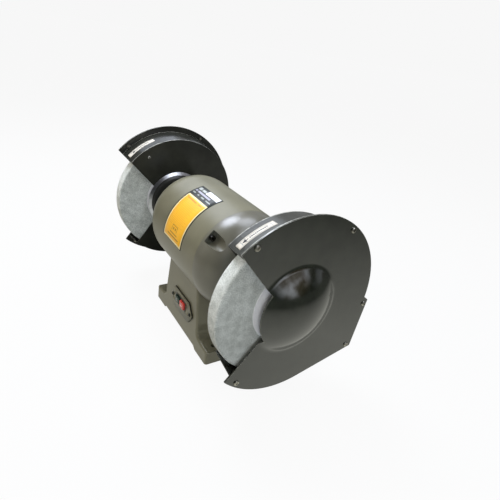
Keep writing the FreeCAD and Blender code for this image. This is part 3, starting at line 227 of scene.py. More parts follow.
# the faint grain that a spark-eroded mould leaves on plastic
moulded = {"patch": 8 * mm, "dimple": 0.4 * mm, "depth": 0.01 * mm}
finishes = {
    "grey_enamel": greyEnamel,
    "black_enamel": blackSatin,
    "abrasive": corundum,
    # zinc plate gone dark with age: grey, cloudy
    "plated_steel": makeFinish(
        "agedZincPlate", {"Metallic": 1},
        {"colours": ("#5b5a55", "#8f8e88"), "patch": 6 * mm, "gloss": (0.25, 0.4),
         "dimple": 0.6 * mm, "depth": 0.02 * mm, "relief": 0.3},
    ),
    # turned and ground steel: cool, bright, with faint cloudiness from handling
    "bare_steel": makeFinish(
        "turnedSteel", {"Metallic": 1},
        {"colours": ("#9d9d9c", "#c4c5c6"), "patch": 6 * mm, "gloss": (0.22, 0.36),
         "dimple": 0.6 * mm, "depth": 0.02 * mm, "relief": 0.3},
    ),
    "bearing_steel": makeFinish(
        "groundBearingSteel", {"Metallic": 1},
        {"colours": ("#a9aaac", "#cfd0d2"), "patch": 6 * mm, "gloss": (0.12, 0.2)},
    ),
    # stacked electrical sheet: fine lines across the stack; 0.5 mm sheets are drawn 2 mm to show
    "lamination_steel": makeFinish(
        "stackedSheetSteel", {"Metallic": 1, "Roughness": 0.45},
        {"colours": ("#55565a", "#8d8f94"), "pitch": 2 * mm, "wobble": 0, "depth": 0.1 * mm},
    ),
    # enamelled copper wire: warm red turns side by side; 0.6 mm wire is drawn 1.6 mm to show
    "copper": makeFinish(
        "enamelledWire", {"Metallic": 0.7, "Roughness": 0.35},
        {"colours": ("#6d3419", "#c27243"), "pitch": 1.6 * mm, "wobble": 1.5, "depth": 0.3 * mm},
    ),
    # pressure-cast aluminium: pale, matt, with a fine skin
    "cast_aluminium": makeFinish(
        "castAluminium", {"Metallic": 1},
        {"colours": ("#b0b1b1", "#cdcecf"), "patch": 6 * mm, "gloss": (0.4, 0.55),
         "dimple": 0.6 * mm, "depth": 0.1 * mm, "relief": 0.3},
    ),
    # pressed blotting paper: white, matt, with fibres about 1 mm long
    "paper": makeFinish(
        "blottingPaper", {"IOR": 1.5, "Roughness": 0.85},
        {"colours": ("#eeefec", "#fbfbf9"), "patch": 1.6 * mm, "detail": 4, "harsh": 0.7,
         "depth": 0.08 * mm},
    ),
    # moulded polyamide, satin: ivory for the wheel bushes, black for gland and switch case
    "bush_plastic": makeFinish(
        "ivoryPolyamide", {"IOR": 1.53},
        dict(moulded, colours=("#cdc8b6", "#dcd8c8"), gloss=(0.4, 0.5)),
    ),
    "black_plastic": makeFinish(
        "blackPolyamide", {"IOR": 1.53},
        dict(moulded, colours=("#17181a", "#202123"), gloss=(0.35, 0.5)),
    ),
    # moulded polycarbonate: strong colour under a polished skin, the green nearly black
    "red_plastic": makeFinish(
        "redPolycarbonate", {"IOR": 1.58},
        dict(moulded, colours=("#c8362d", "#d8463b"), gloss=(0.15, 0.22)),
    ),
    "green_plastic": makeFinish(
        "greenPolycarbonate", {"IOR": 1.58, "Specular IOR Level": 0.35},
        dict(moulded, colours=("#16251a", "#1e3324"), gloss=(0.24, 0.32)),
    ),
    # printed polyester film: smooth, flat colour
    "amber_film": makeFinish(
        "amberFilm", {"IOR": 1.49},
        {"colours": ("#f6b93b", "#fbc44d"), "patch": 14 * mm, "gloss": (0.3, 0.4)},
    ),
    "white_film": makeFinish(
        "whiteFilm", {"IOR": 1.49},
        {"colours": ("#e0e2e0", "#eceeec"), "patch": 14 * mm, "gloss": (0.3, 0.4)},
    ),
}
slotOf = {part["node"]: part["material_slot"] for part in frame["record"]["subparts"]}
for name, cadNode in nodes.items():
    cadNode.data.materials.clear()
    cadNode.data.materials.append(finishes[slotOf[name]])
print("finishes given to the nodes")


def addPiece(name, bm, body, materials, replaced=(), sharp=35):
    # a finished mesh becomes a piece that rides on its body
    mesh = bpy.data.meshes.new(name)
    bm.to_mesh(mesh)
    bm.free()
    for material in materials:
        mesh.materials.append(material)
    if "custom_normal" in mesh.attributes:  # a node's own shading doesn't fit its merged copy
        mesh.attributes.remove(mesh.attributes["custom_normal"])
    mesh.shade_smooth()
    mesh.set_sharp_from_angle(angle=math.radians(sharp))
    made = bpy.data.objects.new(name, mesh)
    bpy.context.scene.collection.objects.link(made)
    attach(made, body)
    if replaced:
        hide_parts(*replaced)
    return made


def mergedCopy(name):
    # a node's own mesh with its doubles merged and its flat faces joined up
    bm = bmesh.new()
    bm.from_mesh(nodes[name].data)
    bmesh.ops.remove_doubles(bm, verts=bm.verts, dist=weld)
    flat = math.radians(0.3)
    bmesh.ops.dissolve_limit(bm, angle_limit=flat, verts=bm.verts, edges=bm.edges)
    for face in bm.faces:
        face.material_index = 0
    return bm


def turnedRing(bm, corners, centre, steps=96):
    # a closed profile of (along, radius) corners spun round the shaft's direction
    ring = [bm.verts.new((along, 0, radius)) for along, radius in corners]
    edges = [bm.edges.new((a, b)) for a, b in zip(ring, ring[1:] + ring[:1])]
    bmesh.ops.spin(
        bm, geom=ring + edges, cent=(0, 0, 0), axis=(1, 0, 0), angle=math.tau, steps=steps,
        use_merge=True,
    )
    bmesh.ops.remove_doubles(bm, verts=bm.verts, dist=weld)
    bmesh.ops.recalc_face_normals(bm, faces=bm.faces)
    bmesh.ops.translate(bm, verts=bm.verts, vec=centre)


# grinding wheels: edges rounded by use, rims a little uneven
wheel = {
    "bore": 16 * mm, "edge": 3.5 * mm, "steps": 4, "around": 120,
    "rings": (0.25, 0.5, 0.75, 0.95),  # loops on the flats, as shares of the way out
    "uneven": 0.12 * mm, "lump": 9 * mm, "unevenFrom": 0.6,  # from this share of the radius
    "dressedEdge": 0.3,  # the dresser reached down the rounding by this share of it
}
for side in sides:
    low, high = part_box(f"grinding_wheel_{side}")
    bore, soft = wheel["bore"], wheel["edge"]
    radius = (high[2] - low[2]) / 2
    flats = [bore + share * (radius - soft - bore) for share in wheel["rings"]]
    turns = [math.pi / 2 * step / wheel["steps"] for step in range(wheel["steps"] + 1)]
    rounds = [(soft * (1 - math.cos(turn)), radius - soft * (1 - math.sin(turn))) for turn in turns]
    corners = [(low[0], far) for far in [bore] + flats]
    corners += [(low[0] + inset, far) for inset, far in rounds]
    corners += [((low[0] + high[0]) / 2, radius)]
    corners += [(high[0] - inset, far) for inset, far in rounds[::-1]]
    corners += [(high[0], far) for far in flats[::-1] + [bore]]
    bm = bmesh.new()
    turnedRing(bm, corners, (0, 0, shaft["height"]), wheel["around"])
    for vert in bm.verts:
        far = math.hypot(vert.co.y, vert.co.z - shaft["height"])
        if far > wheel["unevenFrom"] * radius:
            # always inwards, so the wheel stays inside its node
            pull = wheel["uneven"] * (noise.noise(vert.co / wheel["lump"]) - 1)
            vert.co.y += pull * vert.co.y / far
            vert.co.z += pull * (vert.co.z - shaft["height"]) / far
    for face in bm.faces:
        middle = face.calc_center_median()
        far = math.hypot(middle.y, middle.z - shaft["height"])
        if far > radius - wheel["dressedEdge"] * soft:
            face.material_index = 1
    addPiece(
        f"grindingWheel_{side}", bm, "spindle", [finishes["abrasive"], dressedRim],
        [f"grinding_wheel_{side}"],
    )
print("grinding wheels made")

# guards: sheet edges softened and worn, with a lighter strip along both ends of the band; edges and
# strips are worn enamel and painted highlight
guard = {"edge": 0.45 * mm, "sharp": math.radians(40), "highlightStrip": 2.6 * mm, "highlightHem": 2.0 * mm}
for side, mirror in sides.items():
    for kind, piece in (("guard_housing", "guardHousing"), ("guard_cover", "guardCover")):
        bm = mergedCopy(f"{kind}_{side}")
        low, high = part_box(f"{kind}_{side}")
        if kind == "guard_housing":
            outer = max(abs(low[0]), abs(high[0]))
            inner = min(abs(low[0]), abs(high[0]))
            for cut in (outer - guard["highlightStrip"], inner + guard["highlightHem"]):
                bmesh.ops.bisect_plane(
                    bm, geom=bm.verts[:] + bm.edges[:] + bm.faces[:],
                    plane_co=(mirror * cut, 0, 0), plane_no=(1, 0, 0),
                )
            # painted highlight: outward faces near both ends of the band take the lighter edge
            # colour
            for face in bm.faces:
                middle = face.calc_center_median()
                outward = middle - Vector((middle.x, 0, shaft["height"]))
                beyond = mirror * middle.x > outer - guard["highlightStrip"]
                highlightHem = mirror * middle.x < inner + guard["highlightHem"]
                facesOut = face.normal.dot(outward.normalized()) > 0.5
                if (beyond or highlightHem) and facesOut:
                    face.material_index = 1
        paint = blackEnamel
        # on the right the housing takes the greyer enamel, a painted sheen
        if side == "right":
            paint = coverEnamel if kind == "guard_cover" else litHousingEnamel
        made = addPiece(
            f"{piece}_{side}", bm, "frame", [paint, wornEdgeHighlight],
            [f"{kind}_{side}"],
        )
        bevel = made.modifiers.new("softEdges", "BEVEL")
        bevel.width = guard["edge"]
        bevel.segments = 2
        bevel.profile = 0.5
        bevel.limit_method = "ANGLE"
        bevel.angle_limit = guard["sharp"]
        bevel.material = 1  # the worn edge, with its painted highlight
        bevel.harden_normals = True
print("guards made")

# end bells: on the right the floors of the bolt pockets are painted dark, as painted shade in the
# recesses
bell = {"pocketCircle": 87.5 * mm, "pocketRadius": 12.7 * mm, "angles": (39.3, 140.7, 235, 305)}
spots = []
for angle in bell["angles"]:
    turn = math.radians(angle)
    spots.append((bell["pocketCircle"] * math.cos(turn), bell["pocketCircle"] * math.sin(turn)))
# guard mounts: a thin skin over the plate's cone, turned bright at its rim, and black over its back
# as painted shade in the hollow behind the rim
mount = {
    "skin": 0.15 * mm, "faceRadius": 64.6 * mm, "rimRadius": 65 * mm,
    "bend": 4.4 * mm, "bendRadius": 58.9 * mm, "back": 8 * mm, "backRadius": 54 * mm,
    "neckRadius": 44.1 * mm, "inside": 7.5 * mm, "insideRadius": 53 * mm,
    "turnedTo": 4.6 * mm,
}
for side, mirror in sides.items():
    bm = mergedCopy(f"end_bell_{side}")
    for face in bm.faces:
        middle = face.calc_center_median()
        for y, z in spots:
            reach = math.hypot(middle.y - y, middle.z - shaft["height"] - z)
            onFloor = abs(face.normal.x) > 0.9
            if reach < bell["pocketRadius"] and onFloor:
                face.material_index = 1
    # the right bell: a darker enamel and darker pocket floors, both painted shade
    paints = [shadedBellEnamel, pocketShadeEnamel] if side == "right" else [greyEnamel, greyEnamel]
    addPiece(f"endBell_{side}", bm, "frame", paints, [f"end_bell_{side}"])
    low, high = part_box(f"guard_mount_{side}")
    start = max(abs(low[0]), abs(high[0])) * mirror
    skin = mount["skin"]
    proud = 1.6 * skin  # a skin square to a slope stands further out along the radius
    depths = [
        (skin, mount["faceRadius"]),
        (skin, mount["rimRadius"] + skin),
        (mount["bend"], mount["bendRadius"] + proud),
        (mount["back"], mount["backRadius"] + proud),
        (mount["back"] + skin, mount["backRadius"]),
        (mount["back"] + skin, mount["neckRadius"]),
        (mount["inside"], mount["neckRadius"]),
        (mount["inside"], mount["insideRadius"]),
    ]
    bm = bmesh.new()
    corners = [(start - mirror * depth, far) for depth, far in depths]
    turnedRing(bm, corners, (0, 0, shaft["height"]))
    # past the turned rim the skin is black satin: painted shade
    for face in bm.faces:
        if abs(face.calc_center_median().x - start) > mount["turnedTo"]:
            face.material_index = 1
    addPiece(f"mountCone_{side}", bm, "frame", [turnedFlange, blackSatin])
print("end bells and mounts made")


def looseParts(name):
    # the lowest and highest corner of each separate solid of a node
    bm = bmesh.new()
    bm.from_mesh(nodes[name].data)
    bmesh.ops.remove_doubles(bm, verts=bm.verts, dist=weld)
    left = set(bm.verts)
    boxes = []
    while left:
        reached = [left.pop()]
        for vert in reached:
            for edge in vert.link_edges:
                other = edge.other_vert(vert)
                if other in left:
                    left.discard(other)
                    reached.append(other)
        places = [vert.co for vert in reached]
        low = Vector([min(co[k] for co in places) for k in range(3)])
        high = Vector([max(co[k] for co in places) for k in range(3)])
        boxes.append((low, high))
    bm.free()
    return sorted(boxes, key=lambda pair: tuple(pair[0]))


# screws: heads in mm as radius, height, half length and half width of the cross
heads = {
    "cover": (4.5, 2.6, 2.3, 0.5),
    "plate": (3.6, 2.6, 1.9, 0.45),
    "side": (3.3, 1.92, 1.7, 0.4),
}
screwShape = {
    "dome": ((0, 0), (1, 0), (1, 0.35), (0.88, 0.75), (0.62, 1)),  # shares of radius and height
    "crossDepth": 0.6, "shank": 2 * mm, "around": 32,
    "turnFirst": 25, "turnNext": 37,  # degrees, so no two crosses stand alike
}


def crossScrew(head, reach):
    # a domed head with a cross cut into its top, on a plain shank; its under face is at z = 0
    bm = bmesh.new()
    radius, height, arm, slot = (size * mm for size in head)
    points = [bm.verts.new((r * radius, 0, z * height)) for r, z in screwShape["dome"]]
    edges = [bm.edges.new(pair) for pair in zip(points, points[1:])]
    bmesh.ops.spin(
        bm, geom=points + edges, cent=(0, 0, 0), axis=(0, 0, 1), angle=math.tau,
        steps=screwShape["around"], use_merge=True,
    )
    bmesh.ops.remove_doubles(bm, verts=bm.verts, dist=weld)
    rim = [e for e in bm.edges if e.is_boundary and e.verts[0].co.z > height / 2]
    quarter = [(arm, slot), (slot, slot), (slot, arm)]
    outline = []
    for turn in range(4):
        spin = Matrix.Rotation(math.radians(90 * turn), 3, "Z")
        outline += [bm.verts.new(spin @ Vector((x, y, height))) for x, y in quarter]
    cross = [bm.edges.new(pair) for pair in zip(outline, outline[1:] + outline[:1])]
    bmesh.ops.triangle_fill(bm, use_beauty=True, edges=rim + cross)
    walls = bmesh.ops.extrude_edge_only(bm, edges=cross)["geom"]
    deep = [item for item in walls if isinstance(item, bmesh.types.BMVert)]
    bmesh.ops.translate(bm, verts=deep, vec=(0, 0, -screwShape["crossDepth"] * height))
    drawn = [item for item in walls if isinstance(item, bmesh.types.BMEdge)]
    bottom = [e for e in drawn if e.verts[0] in deep and e.verts[1] in deep]
    bmesh.ops.edgenet_fill(bm, edges=bottom)
    bmesh.ops.create_cone(
        bm, cap_ends=True, segments=16, radius1=screwShape["shank"],
        radius2=screwShape["shank"], depth=reach, matrix=Matrix.Translation((0, 0, -reach / 2)),
    )
    bmesh.ops.recalc_face_normals(bm, faces=bm.faces)
    return bm


def addScrews(name, node, head, facing, material):
    # one cross-headed screw in place of each solid of the node
    axis = Vector(facing)
    height = head[1] * mm
    k = max(range(3), key=lambda index: abs(axis[index]))
    bm = bmesh.new()
    for number, (low, high) in enumerate(looseParts(node)):
        outer, inner = (high[k], low[k]) if axis[k] > 0 else (low[k], high[k])
        middle = (low + high) / 2
        middle[k] = outer - axis[k] * height
        screw = crossScrew(head, abs(outer - inner) - height)
        turn = axis.to_track_quat("Z", "Y").to_matrix().to_4x4()
        angle = math.radians(screwShape["turnFirst"] + screwShape["turnNext"] * number)
        placed = Matrix.Translation(middle) @ turn @ Matrix.Rotation(angle, 4, "Z")
        bmesh.ops.transform(screw, matrix=placed, verts=screw.verts)
        part = bpy.data.meshes.new("part")
        screw.to_mesh(part)
        screw.free()
        bm.from_mesh(part)
        bpy.data.meshes.remove(part)
    addPiece(name, bm, "frame", [material], [node], sharp=30)


for side, mirror in sides.items():
    node = f"cover_screws_{side}"
    addScrews(f"coverScrews_{side}", node, heads["cover"], (mirror, 0, 0), blackZinc)
    node = f"shield_bracket_screw_{side}"
    addScrews(f"shieldScrew_{side}", node, heads["side"], (-mirror, 0, 0), brightZinc)
addScrews("switchPlateScrews", "switch_plate_screws", heads["plate"], (0, -1, 0), blackOxide)
nodes["tie_bolts"].data.materials[0] = blackOxide
print("screws made")


def wrapFilm(name, film, radiusAt, prints, replaced, turn=0):
    # a thin film bent round the shaft's direction; its UV map is in metres from one corner
    bm = bmesh.new()
    uvLayer = bm.loops.layers.uv.new("film")
    bmesh.ops.create_grid(bm, x_segments=film["across"], y_segments=film["around"], size=0.5)
    start, stop = film["x"]
    first, last = (math.radians(angle) for angle in film["angles"])
    width = abs(stop - start)
    length = (last - first) * radiusAt((start + stop) / 2)
    for face in bm.faces:
        for loop in face.loops:
            shares = (loop.vert.co.x + 0.5, loop.vert.co.y + 0.5)
            loop[uvLayer].uv = (shares[0] * width, shares[1] * length)
    for vert in bm.verts:
        x = start + (vert.co.x + 0.5) * (stop - start)
        angle = first + (vert.co.y + 0.5) * (last - first)
        vert.co = (x, radiusAt(x) * math.cos(angle), radiusAt(x) * math.sin(angle))
    bm.normal_update()
    sample = next(iter(bm.faces))  # one face tells which way they all look
    middle = sample.calc_center_median()
    if sample.normal.y * middle.y + sample.normal.z * middle.z < 0:
        bmesh.ops.reverse_faces(bm, faces=bm.faces)
    bmesh.ops.transform(bm, matrix=Matrix.Rotation(turn, 4, "X"), verts=bm.verts)
    bmesh.ops.translate(bm, verts=bm.verts, vec=(0, 0, shaft["height"]))

    def printOver(tree, place, colour):
        # blocks of ink, each left, right, low and high in mm on the film
        uv = addNode(tree, "ShaderNodeUVMap", uv_map="film").outputs[0]
        parts = addNode(tree, "ShaderNodeSeparateXYZ", {0: uv}).outputs
        for tint, blocks in prints:
            for block in blocks:
                left, right, low, high = (value * mm for value in block)
                across = {0: parts[0], 1: (left + right) / 2, 2: (right - left) / 2}
                along = {0: parts[1], 1: (low + high) / 2, 2: (high - low) / 2}
                inX = addNode(tree, "ShaderNodeMath", across, operation="COMPARE").outputs[0]
                inY = addNode(tree, "ShaderNodeMath", along, operation="COMPARE").outputs[0]
                both = {0: inX, 1: inY}
                mask = addNode(tree, "ShaderNodeMath", both, operation="MULTIPLY").outputs[0]
                layers = {0: mask, 6: colour, 7: linearFromHex(tint)}
                colour = addNode(tree, "ShaderNodeMix", layers, data_type="RGBA").outputs[2]
        return colour

    # printed polyester film under clear laminate: flat inks, slight sheen, tiny waves
    look = {"colours": film["ground"], "patch": 14 * mm, "dimple": 7 * mm, "depth": 0.03 * mm}
    material = makeFinish(name + "Film", {"IOR": 1.49, "Roughness": 0.45}, look, printOver)
    made = addPiece(name, bm, "frame", [material], replaced)
    shell = made.modifiers.new("filmThickness", "SOLIDIFY")
    shell.thickness = film["thick"]
    shell.offset = -1


# rating label: a dark film with a white box, rows of plain bars and an amber panel
ratingFilm = {
    "x": (-40.4 * mm, 39.6 * mm), "angles": (101, 178), "across": 4, "around": 48,
    "thick": 0.24 * mm, "ground": ("#262a26", "#30342f"), "drum": 92.26 * mm,
}
ratingRows = []  # thin rows of uneven length down the panel
for k in range(19):
    ratingRows.append((8 + 3 * (k % 2), 66 - (7 * k) % 13, 36.5 + 3.2 * k, 37.1 + 3.2 * k))
ratingPrints = [
    ("#f4f6f4", [(32.7, 76.4, 1.0, 11.8)]),
    ("#b9beb8", [(4, 14, 5.2, 11.6), (17.4, 30, 6, 11.2)]),
    ("#a9a8b4", [(4, 10.5, 14.6, 18.2), (13.4, 60, 14.4, 18.4)]),
    ("#9ea39d", [(4, 14, 21.4, 24.4), (23, 29, 21.8, 24.2)]),
    ("#9ea39d", [(37.4, 48, 21.6, 24.4), (55, 72, 21.8, 24.2)]),
    ("#fbe7ae", [(3.3, 77.2, 30.2, 123.0)]),
    ("#f6b834", [(6.2, 74.2, 33.6, 119.4)]),
    ("#d99a30", ratingRows),
    ("#cc8430", [(12, 47, 36.6, 39.0), (52, 66, 36.8, 38.4)]),
    ("#a5782e", [(18, 64, 112.6, 114.8), (26, 56, 107.4, 109.2)]),
    ("#a5782e", [(30, 51, 93, 94.2), (30, 31.5, 93, 104), (49.5, 51, 93, 104)]),
    ("#a5782e", [(35, 39, 97, 101.5), (42.5, 46.5, 97, 101.5)]),
]
wrapFilm(
    "ratingLabel", ratingFilm, lambda x: ratingFilm["drum"], ratingPrints,
    ["rating_label"],
)

# arrow labels: white film with a thin frame, a plain arrow and short bars
arrowFilm = {
    "width": 13 * mm, "angles": (106.8, 133.2), "across": 3, "around": 24,
    "thick": 0.24 * mm, "gap": 0.02 * mm,
    "ground": ("#d0cabb", "#dcd6c7"), "start": {"right": 212.8 * mm, "left": 216.6 * mm},
    "rootRadius": 137.4 * mm, "rootFace": 212.8 * mm, "draft": math.tan(math.radians(5)),
}
arrowPrints = [
    ("#7f8486", [(2.0, 11.0, 5.8, 6.6), (2.0, 11.0, 55.6, 56.4)]),
    ("#7f8486", [(2.0, 2.6, 5.8, 56.4), (10.4, 11.0, 5.8, 56.4)]),
    # the arrow's head in seven steps, then its shaft
    ("#1d2022", [(6.2 - k * 0.5, 6.8 + k * 0.5, 54.2 - k, 55.2 - k) for k in range(7)]),
    ("#1d2022", [(5.7, 7.3, 44.5, 48.4)]),
    ("#3f4448", [(5.0, 8.0, 12.6 + 3.1 * k, 14.6 + 3.1 * k) for k in range(10)]),
]
for side, mirror in sides.items():
    start = arrowFilm["start"][side]
    film = dict(arrowFilm, x=(mirror * start, mirror * (start + arrowFilm["width"])))
    turn = shaft["leftGuardTurn"] if side == "left" else 0

    def coneRadius(x):
        band = arrowFilm["rootRadius"] + (abs(x) - arrowFilm["rootFace"]) * arrowFilm["draft"]
        return band + arrowFilm["thick"] + arrowFilm["gap"]

    wrapFilm(
        f"arrowLabel_{side}", film, coneRadius, arrowPrints,
        [f"arrow_label_{side}"], turn,
    )
print("labels made")

# switch: a painted face on its plate, soft-edged buttons with their marks; mark is half the
# length of the I and the outer radius of the O
switch = {
    "face": 0.5 * mm, "edge": 1.7 * mm, "steps": 4,
    "proud": 0.1 * mm, "mark": 3.0 * mm, "stroke": 0.9 * mm, "around": 32,
}
bm = mergedCopy("switch_plate")
bmesh.ops.delete(bm, geom=[f for f in bm.faces if f.normal.y > -0.99], context="FACES")
made = addPiece("switchFacePlate", bm, "frame", [greyEnamel])
shell = made.modifiers.new("plateThickness", "SOLIDIFY")
shell.thickness = switch["face"]
shell.offset = 1
for kind in ("stop", "start"):
    low, high = (Vector(corner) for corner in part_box(f"{kind}_button"))
    middle = (low + high) / 2
    bm = bmesh.new()
    bmesh.ops.create_cube(bm, size=1)
    bmesh.ops.scale(bm, vec=high - low, verts=bm.verts)
    bmesh.ops.translate(bm, vec=middle, verts=bm.verts)
    front = [e for e in bm.edges if max(v.co.y for v in e.verts) < low.y + weld]
    corners = [e for e in bm.edges if abs(e.verts[0].co.y - e.verts[1].co.y) > weld]
    bmesh.ops.bevel(
        bm, geom=front + corners, offset=switch["edge"], offset_type="OFFSET",
        segments=switch["steps"], profile=0.5, affect="EDGES", material=-1,
    )
    colour = "red_plastic" if kind == "stop" else "green_plastic"
    paint = [finishes[colour]]
    addPiece(f"{kind}Cap", bm, kind, paint, [f"{kind}_button"], sharp=50)
    bm = bmesh.new()
    proud, outside = switch["proud"], switch["mark"]
    if kind == "stop":
        inside = outside - switch["stroke"]
        corners = [(0, outside), (proud, outside), (proud, inside), (0, inside)]
        turnedRing(bm, corners, (0, 0, 0), switch["around"])
        bmesh.ops.rotate(bm, matrix=Matrix.Rotation(math.radians(-90), 3, "Z"), verts=bm.verts)
    else:
        bmesh.ops.create_cube(bm, size=1)
        bmesh.ops.scale(bm, vec=(switch["stroke"], proud, 2 * outside), verts=bm.verts)
        bmesh.ops.translate(bm, vec=(0, -proud / 2, 0), verts=bm.verts)
    bmesh.ops.recalc_face_normals(bm, faces=bm.faces)
    bmesh.ops.translate(bm, vec=(middle.x, low.y, middle.z), verts=bm.verts)
    addPiece(f"{kind}Mark", bm, kind, [markPaint])
print("switch made")

# camera, floor and light
cameraView = {
    "position": (0.62418, -0.36514, 0.5407),
    "pitch": -26.5306,
    "roll": -9.1131,
    "heading": 54.3022,
    "lens": 29.795,
    "sensor": 36,
}
cameraData = bpy.data.cameras.new("camera")
cameraData.lens = cameraView["lens"]
cameraData.sensor_width = cameraView["sensor"]
cameraData.clip_start = 10 * mm
cameraObject = bpy.data.objects.new("camera", cameraData)
turn = (
    Matrix.Rotation(math.radians(cameraView["heading"]), 4, "Z")
    @ Matrix.Rotation(math.radians(cameraView["pitch"]), 4, "X")
    @ Matrix.Rotation(math.radians(cameraView["roll"]), 4, "Y")
    @ Matrix.Rotation(math.radians(90), 4, "X")
)
cameraObject.matrix_world = Matrix.Translation(cameraView["position"]) @ turn
bpy.context.scene.collection.objects.link(cameraObject)
bpy.context.scene.camera = cameraObject
bpy.context.scene.view_settings.view_transform = "Standard"


def backdropShader(tree, shade, plain, mirror, share):
    # lit shade for diffuse light, a plain level for the camera, another for gloss and glass
    path = addNode(tree, "ShaderNodeLightPath").outputs
    rays = {0: path["Is Glossy Ray"], 1: path["Is Transmission Ray"]}
    either = addNode(tree, "ShaderNodeMath", rays, operation="MAXIMUM").outputs[0]
    mirrored = addNode(tree, "ShaderNodeMixShader", {0: either, 1: shade, 2: mirror}).outputs[0]
    part = {0: path["Is Camera Ray"], 1: share}
    seen = addNode(tree, "ShaderNodeMath", part, operation="MULTIPLY").outputs[0]
    return addNode(tree, "ShaderNodeMixShader", {0: seen, 1: mirrored, 2: plain}).outputs[0]


stage = {
    "size": 60.0, "floorColour": "#383732", "floorSeen": "#c4c4c1", "plain": 1.0, "share": 0.93,
    "world": 0.05, "worldTint": "#e8eef6",
    # what gloss finds on the floor, from near to far
    "mirrorNear": 0.8, "mirrorFar": 0.1, "reach": (0.42, 1.3), "mirrorTint": "#fbfbf0",
    # and above it: a paler backdrop, a soft window, and the shapes of a room
    "mirrorRoom": 0.05, "mirrorBackdrop": 0.5, "turnTo": (-0.1, 0.6),
    "backdropAt": (-0.75, 0.66, 0.0),
    "windowAt": (0.84, 0.27, 0.46), "windowSpread": (0.8, 1.0), "windowLevel": 2.0,
    "clutterScale": 3.2, "clutterEdges": (0.38, 0.62), "clutter": (0.35, 1.25),
    "clutterStops": ((0.38, "#8a6a4c"), (0.6, "#f4f8ff")),
}
floorMesh = bpy.data.meshes.new("floor")
bm = bmesh.new()
bmesh.ops.create_grid(bm, x_segments=1, y_segments=1, size=stage["size"])
bm.to_mesh(floorMesh)
bm.free()
floor = bpy.data.objects.new("floor", floorMesh)
bpy.context.scene.collection.objects.link(floor)
floorMaterial = bpy.data.materials.new("paleFloor")
tree = startTree(floorMaterial)
place = addNode(tree, "ShaderNodeTexCoord").outputs["Object"]
far = addNode(tree, "ShaderNodeVectorMath", {0: place}, operation="LENGTH").outputs["Value"]
ends = {"From Min": stage["reach"][0], "From Max": stage["reach"][1]}
ends.update({"Value": far, "To Min": stage["mirrorNear"], "To Max": stage["mirrorFar"]})
level = addNode(tree, "ShaderNodeMapRange", ends).outputs["Result"]
tint = linearFromHex(stage["mirrorTint"])
# the camera sees a pale floor with a faint shadow, and the object gets little light from it
seen = addNode(tree, "ShaderNodeLightPath").outputs["Is Camera Ray"]
tones = {0: seen, 6: linearFromHex(stage["floorColour"]), 7: linearFromHex(stage["floorSeen"])}
tone = addNode(tree, "ShaderNodeMix", tones, data_type="RGBA").outputs[2]
shade = addNode(tree, "ShaderNodeBsdfDiffuse", {"Color": tone})
plain = addNode(tree, "ShaderNodeEmission", {"Strength": stage["plain"]})
mirror = addNode(tree, "ShaderNodeEmission", {"Color": tint, "Strength": level})
layers = (shade.outputs[0], plain.outputs[0], mirror.outputs[0])
surface = backdropShader(tree, *layers, stage["share"])
addNode(tree, "ShaderNodeOutputMaterial", {"Surface": surface})
floorMesh.materials.append(floorMaterial)

world = bpy.data.worlds.new("studio")
bpy.context.scene.world = world
tree = startTree(world)
heading = addNode(tree, "ShaderNodeTexCoord").outputs["Generated"]
facing = {0: heading, 1: stage["backdropAt"]}
facing = addNode(tree, "ShaderNodeVectorMath", facing, operation="DOT_PRODUCT").outputs["Value"]
ends = {"From Min": stage["turnTo"][0], "From Max": stage["turnTo"][1]}
ends.update({"Value": facing, "To Min": stage["mirrorRoom"], "To Max": stage["mirrorBackdrop"]})
level = addNode(tree, "ShaderNodeMapRange", ends).outputs["Result"]
facing = {0: heading, 1: stage["windowAt"]}
facing = addNode(tree, "ShaderNodeVectorMath", facing, operation="DOT_PRODUCT").outputs["Value"]
ends = {"From Min": stage["windowSpread"][0], "From Max": stage["windowSpread"][1]}
ends.update({"Value": facing, "To Min": 0, "To Max": stage["windowLevel"]})
glow = addNode(tree, "ShaderNodeMapRange", ends, interpolation_type="SMOOTHSTEP").outputs["Result"]
level = addNode(tree, "ShaderNodeMath", {0: level, 1: glow}, operation="ADD").outputs[0]
shapes = {"Vector": heading, "Scale": stage["clutterScale"], "Detail": 2}
shapes = addNode(tree, "ShaderNodeTexNoise", shapes).outputs["Fac"]
ends = {"From Min": stage["clutterEdges"][0], "From Max": stage["clutterEdges"][1]}
ends.update({"Value": shapes, "To Min": stage["clutter"][0], "To Max": stage["clutter"][1]})
clutter = addNode(tree, "ShaderNodeMapRange", ends).outputs["Result"]
level = addNode(tree, "ShaderNodeMath", {0: level, 1: clutter}, operation="MULTIPLY").outputs[0]
stops = stage["clutterStops"]
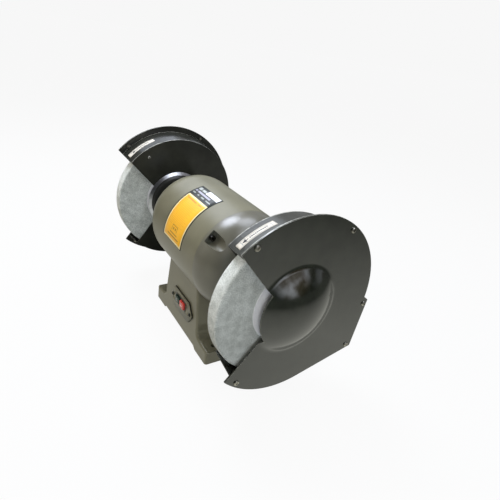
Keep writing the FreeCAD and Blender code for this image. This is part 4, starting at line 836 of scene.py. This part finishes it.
roomTint = addNode(tree, "ShaderNodeValToRGB", {"Fac": shapes}, stops).outputs["Color"]
tint = linearFromHex(stage["worldTint"])
shade = addNode(tree, "ShaderNodeBackground", {"Color": tint, "Strength": stage["world"]})
horizon = stage["plain"] * stage["share"]  # as bright as the floor, so no line shows
plain = addNode(tree, "ShaderNodeBackground", {"Color": (1, 1, 1, 1), "Strength": horizon})
mirror = addNode(tree, "ShaderNodeBackground", {"Color": roomTint, "Strength": level})
layers = (shade.outputs[0], plain.outputs[0], mirror.outputs[0])
surface = backdropShader(tree, *layers, 1.0)
addNode(tree, "ShaderNodeOutputWorld", {"Surface": surface})

# discs aimed at the machine; the hidden ones would show as hard spots in the right dome
hidden = ("softKey", "softRight", "softSide")
lamps = {
    "topLeft": {"at": (-0.6, -0.18, 1.66), "size": 0.9, "power": 27, "tint": "#e4eaf8"},
    "topBack": {"at": (0.05, 0.45, 1.75), "size": 0.9, "power": 14, "tint": "#e4eaf8"},
    "softKey": {"at": (-0.75, -1.75, 0.6), "size": 1.1, "power": 13, "tint": "#fff6ea"},
    "softRight": {"at": (1.35, -0.8, 1.45), "size": 1.0, "power": 6, "tint": "#fff9f0"},
    "softSide": {"at": (1.72, -1.05, 0.7), "size": 0.7, "power": 14, "tint": "#f1f5ff"},
    "shoulder": {"at": (-1.3, 0.05, 1.35), "size": 1.3, "power": 7, "tint": "#e8f0ff"},
    "collar": {"at": (0.89, 0.2, 1.55), "size": 0.8, "power": 5, "tint": "#f0f5ff"},
}
for name, lamp in lamps.items():
    data = bpy.data.lights.new(name, "AREA")
    data.shape = "DISK"
    data.size = lamp["size"]
    data.energy = lamp["power"]
    data.color = linearFromHex(lamp["tint"])[:3]
    made = bpy.data.objects.new(name, data)
    aim = Vector((0, 0, shaft["height"])) - Vector(lamp["at"])
    turn = aim.to_track_quat("-Z", "Y").to_matrix().to_4x4()
    made.matrix_world = Matrix.Translation(lamp["at"]) @ turn
    made.visible_glossy = name not in hidden
    bpy.context.scene.collection.objects.link(made)
print("camera, floor and lamps placed")
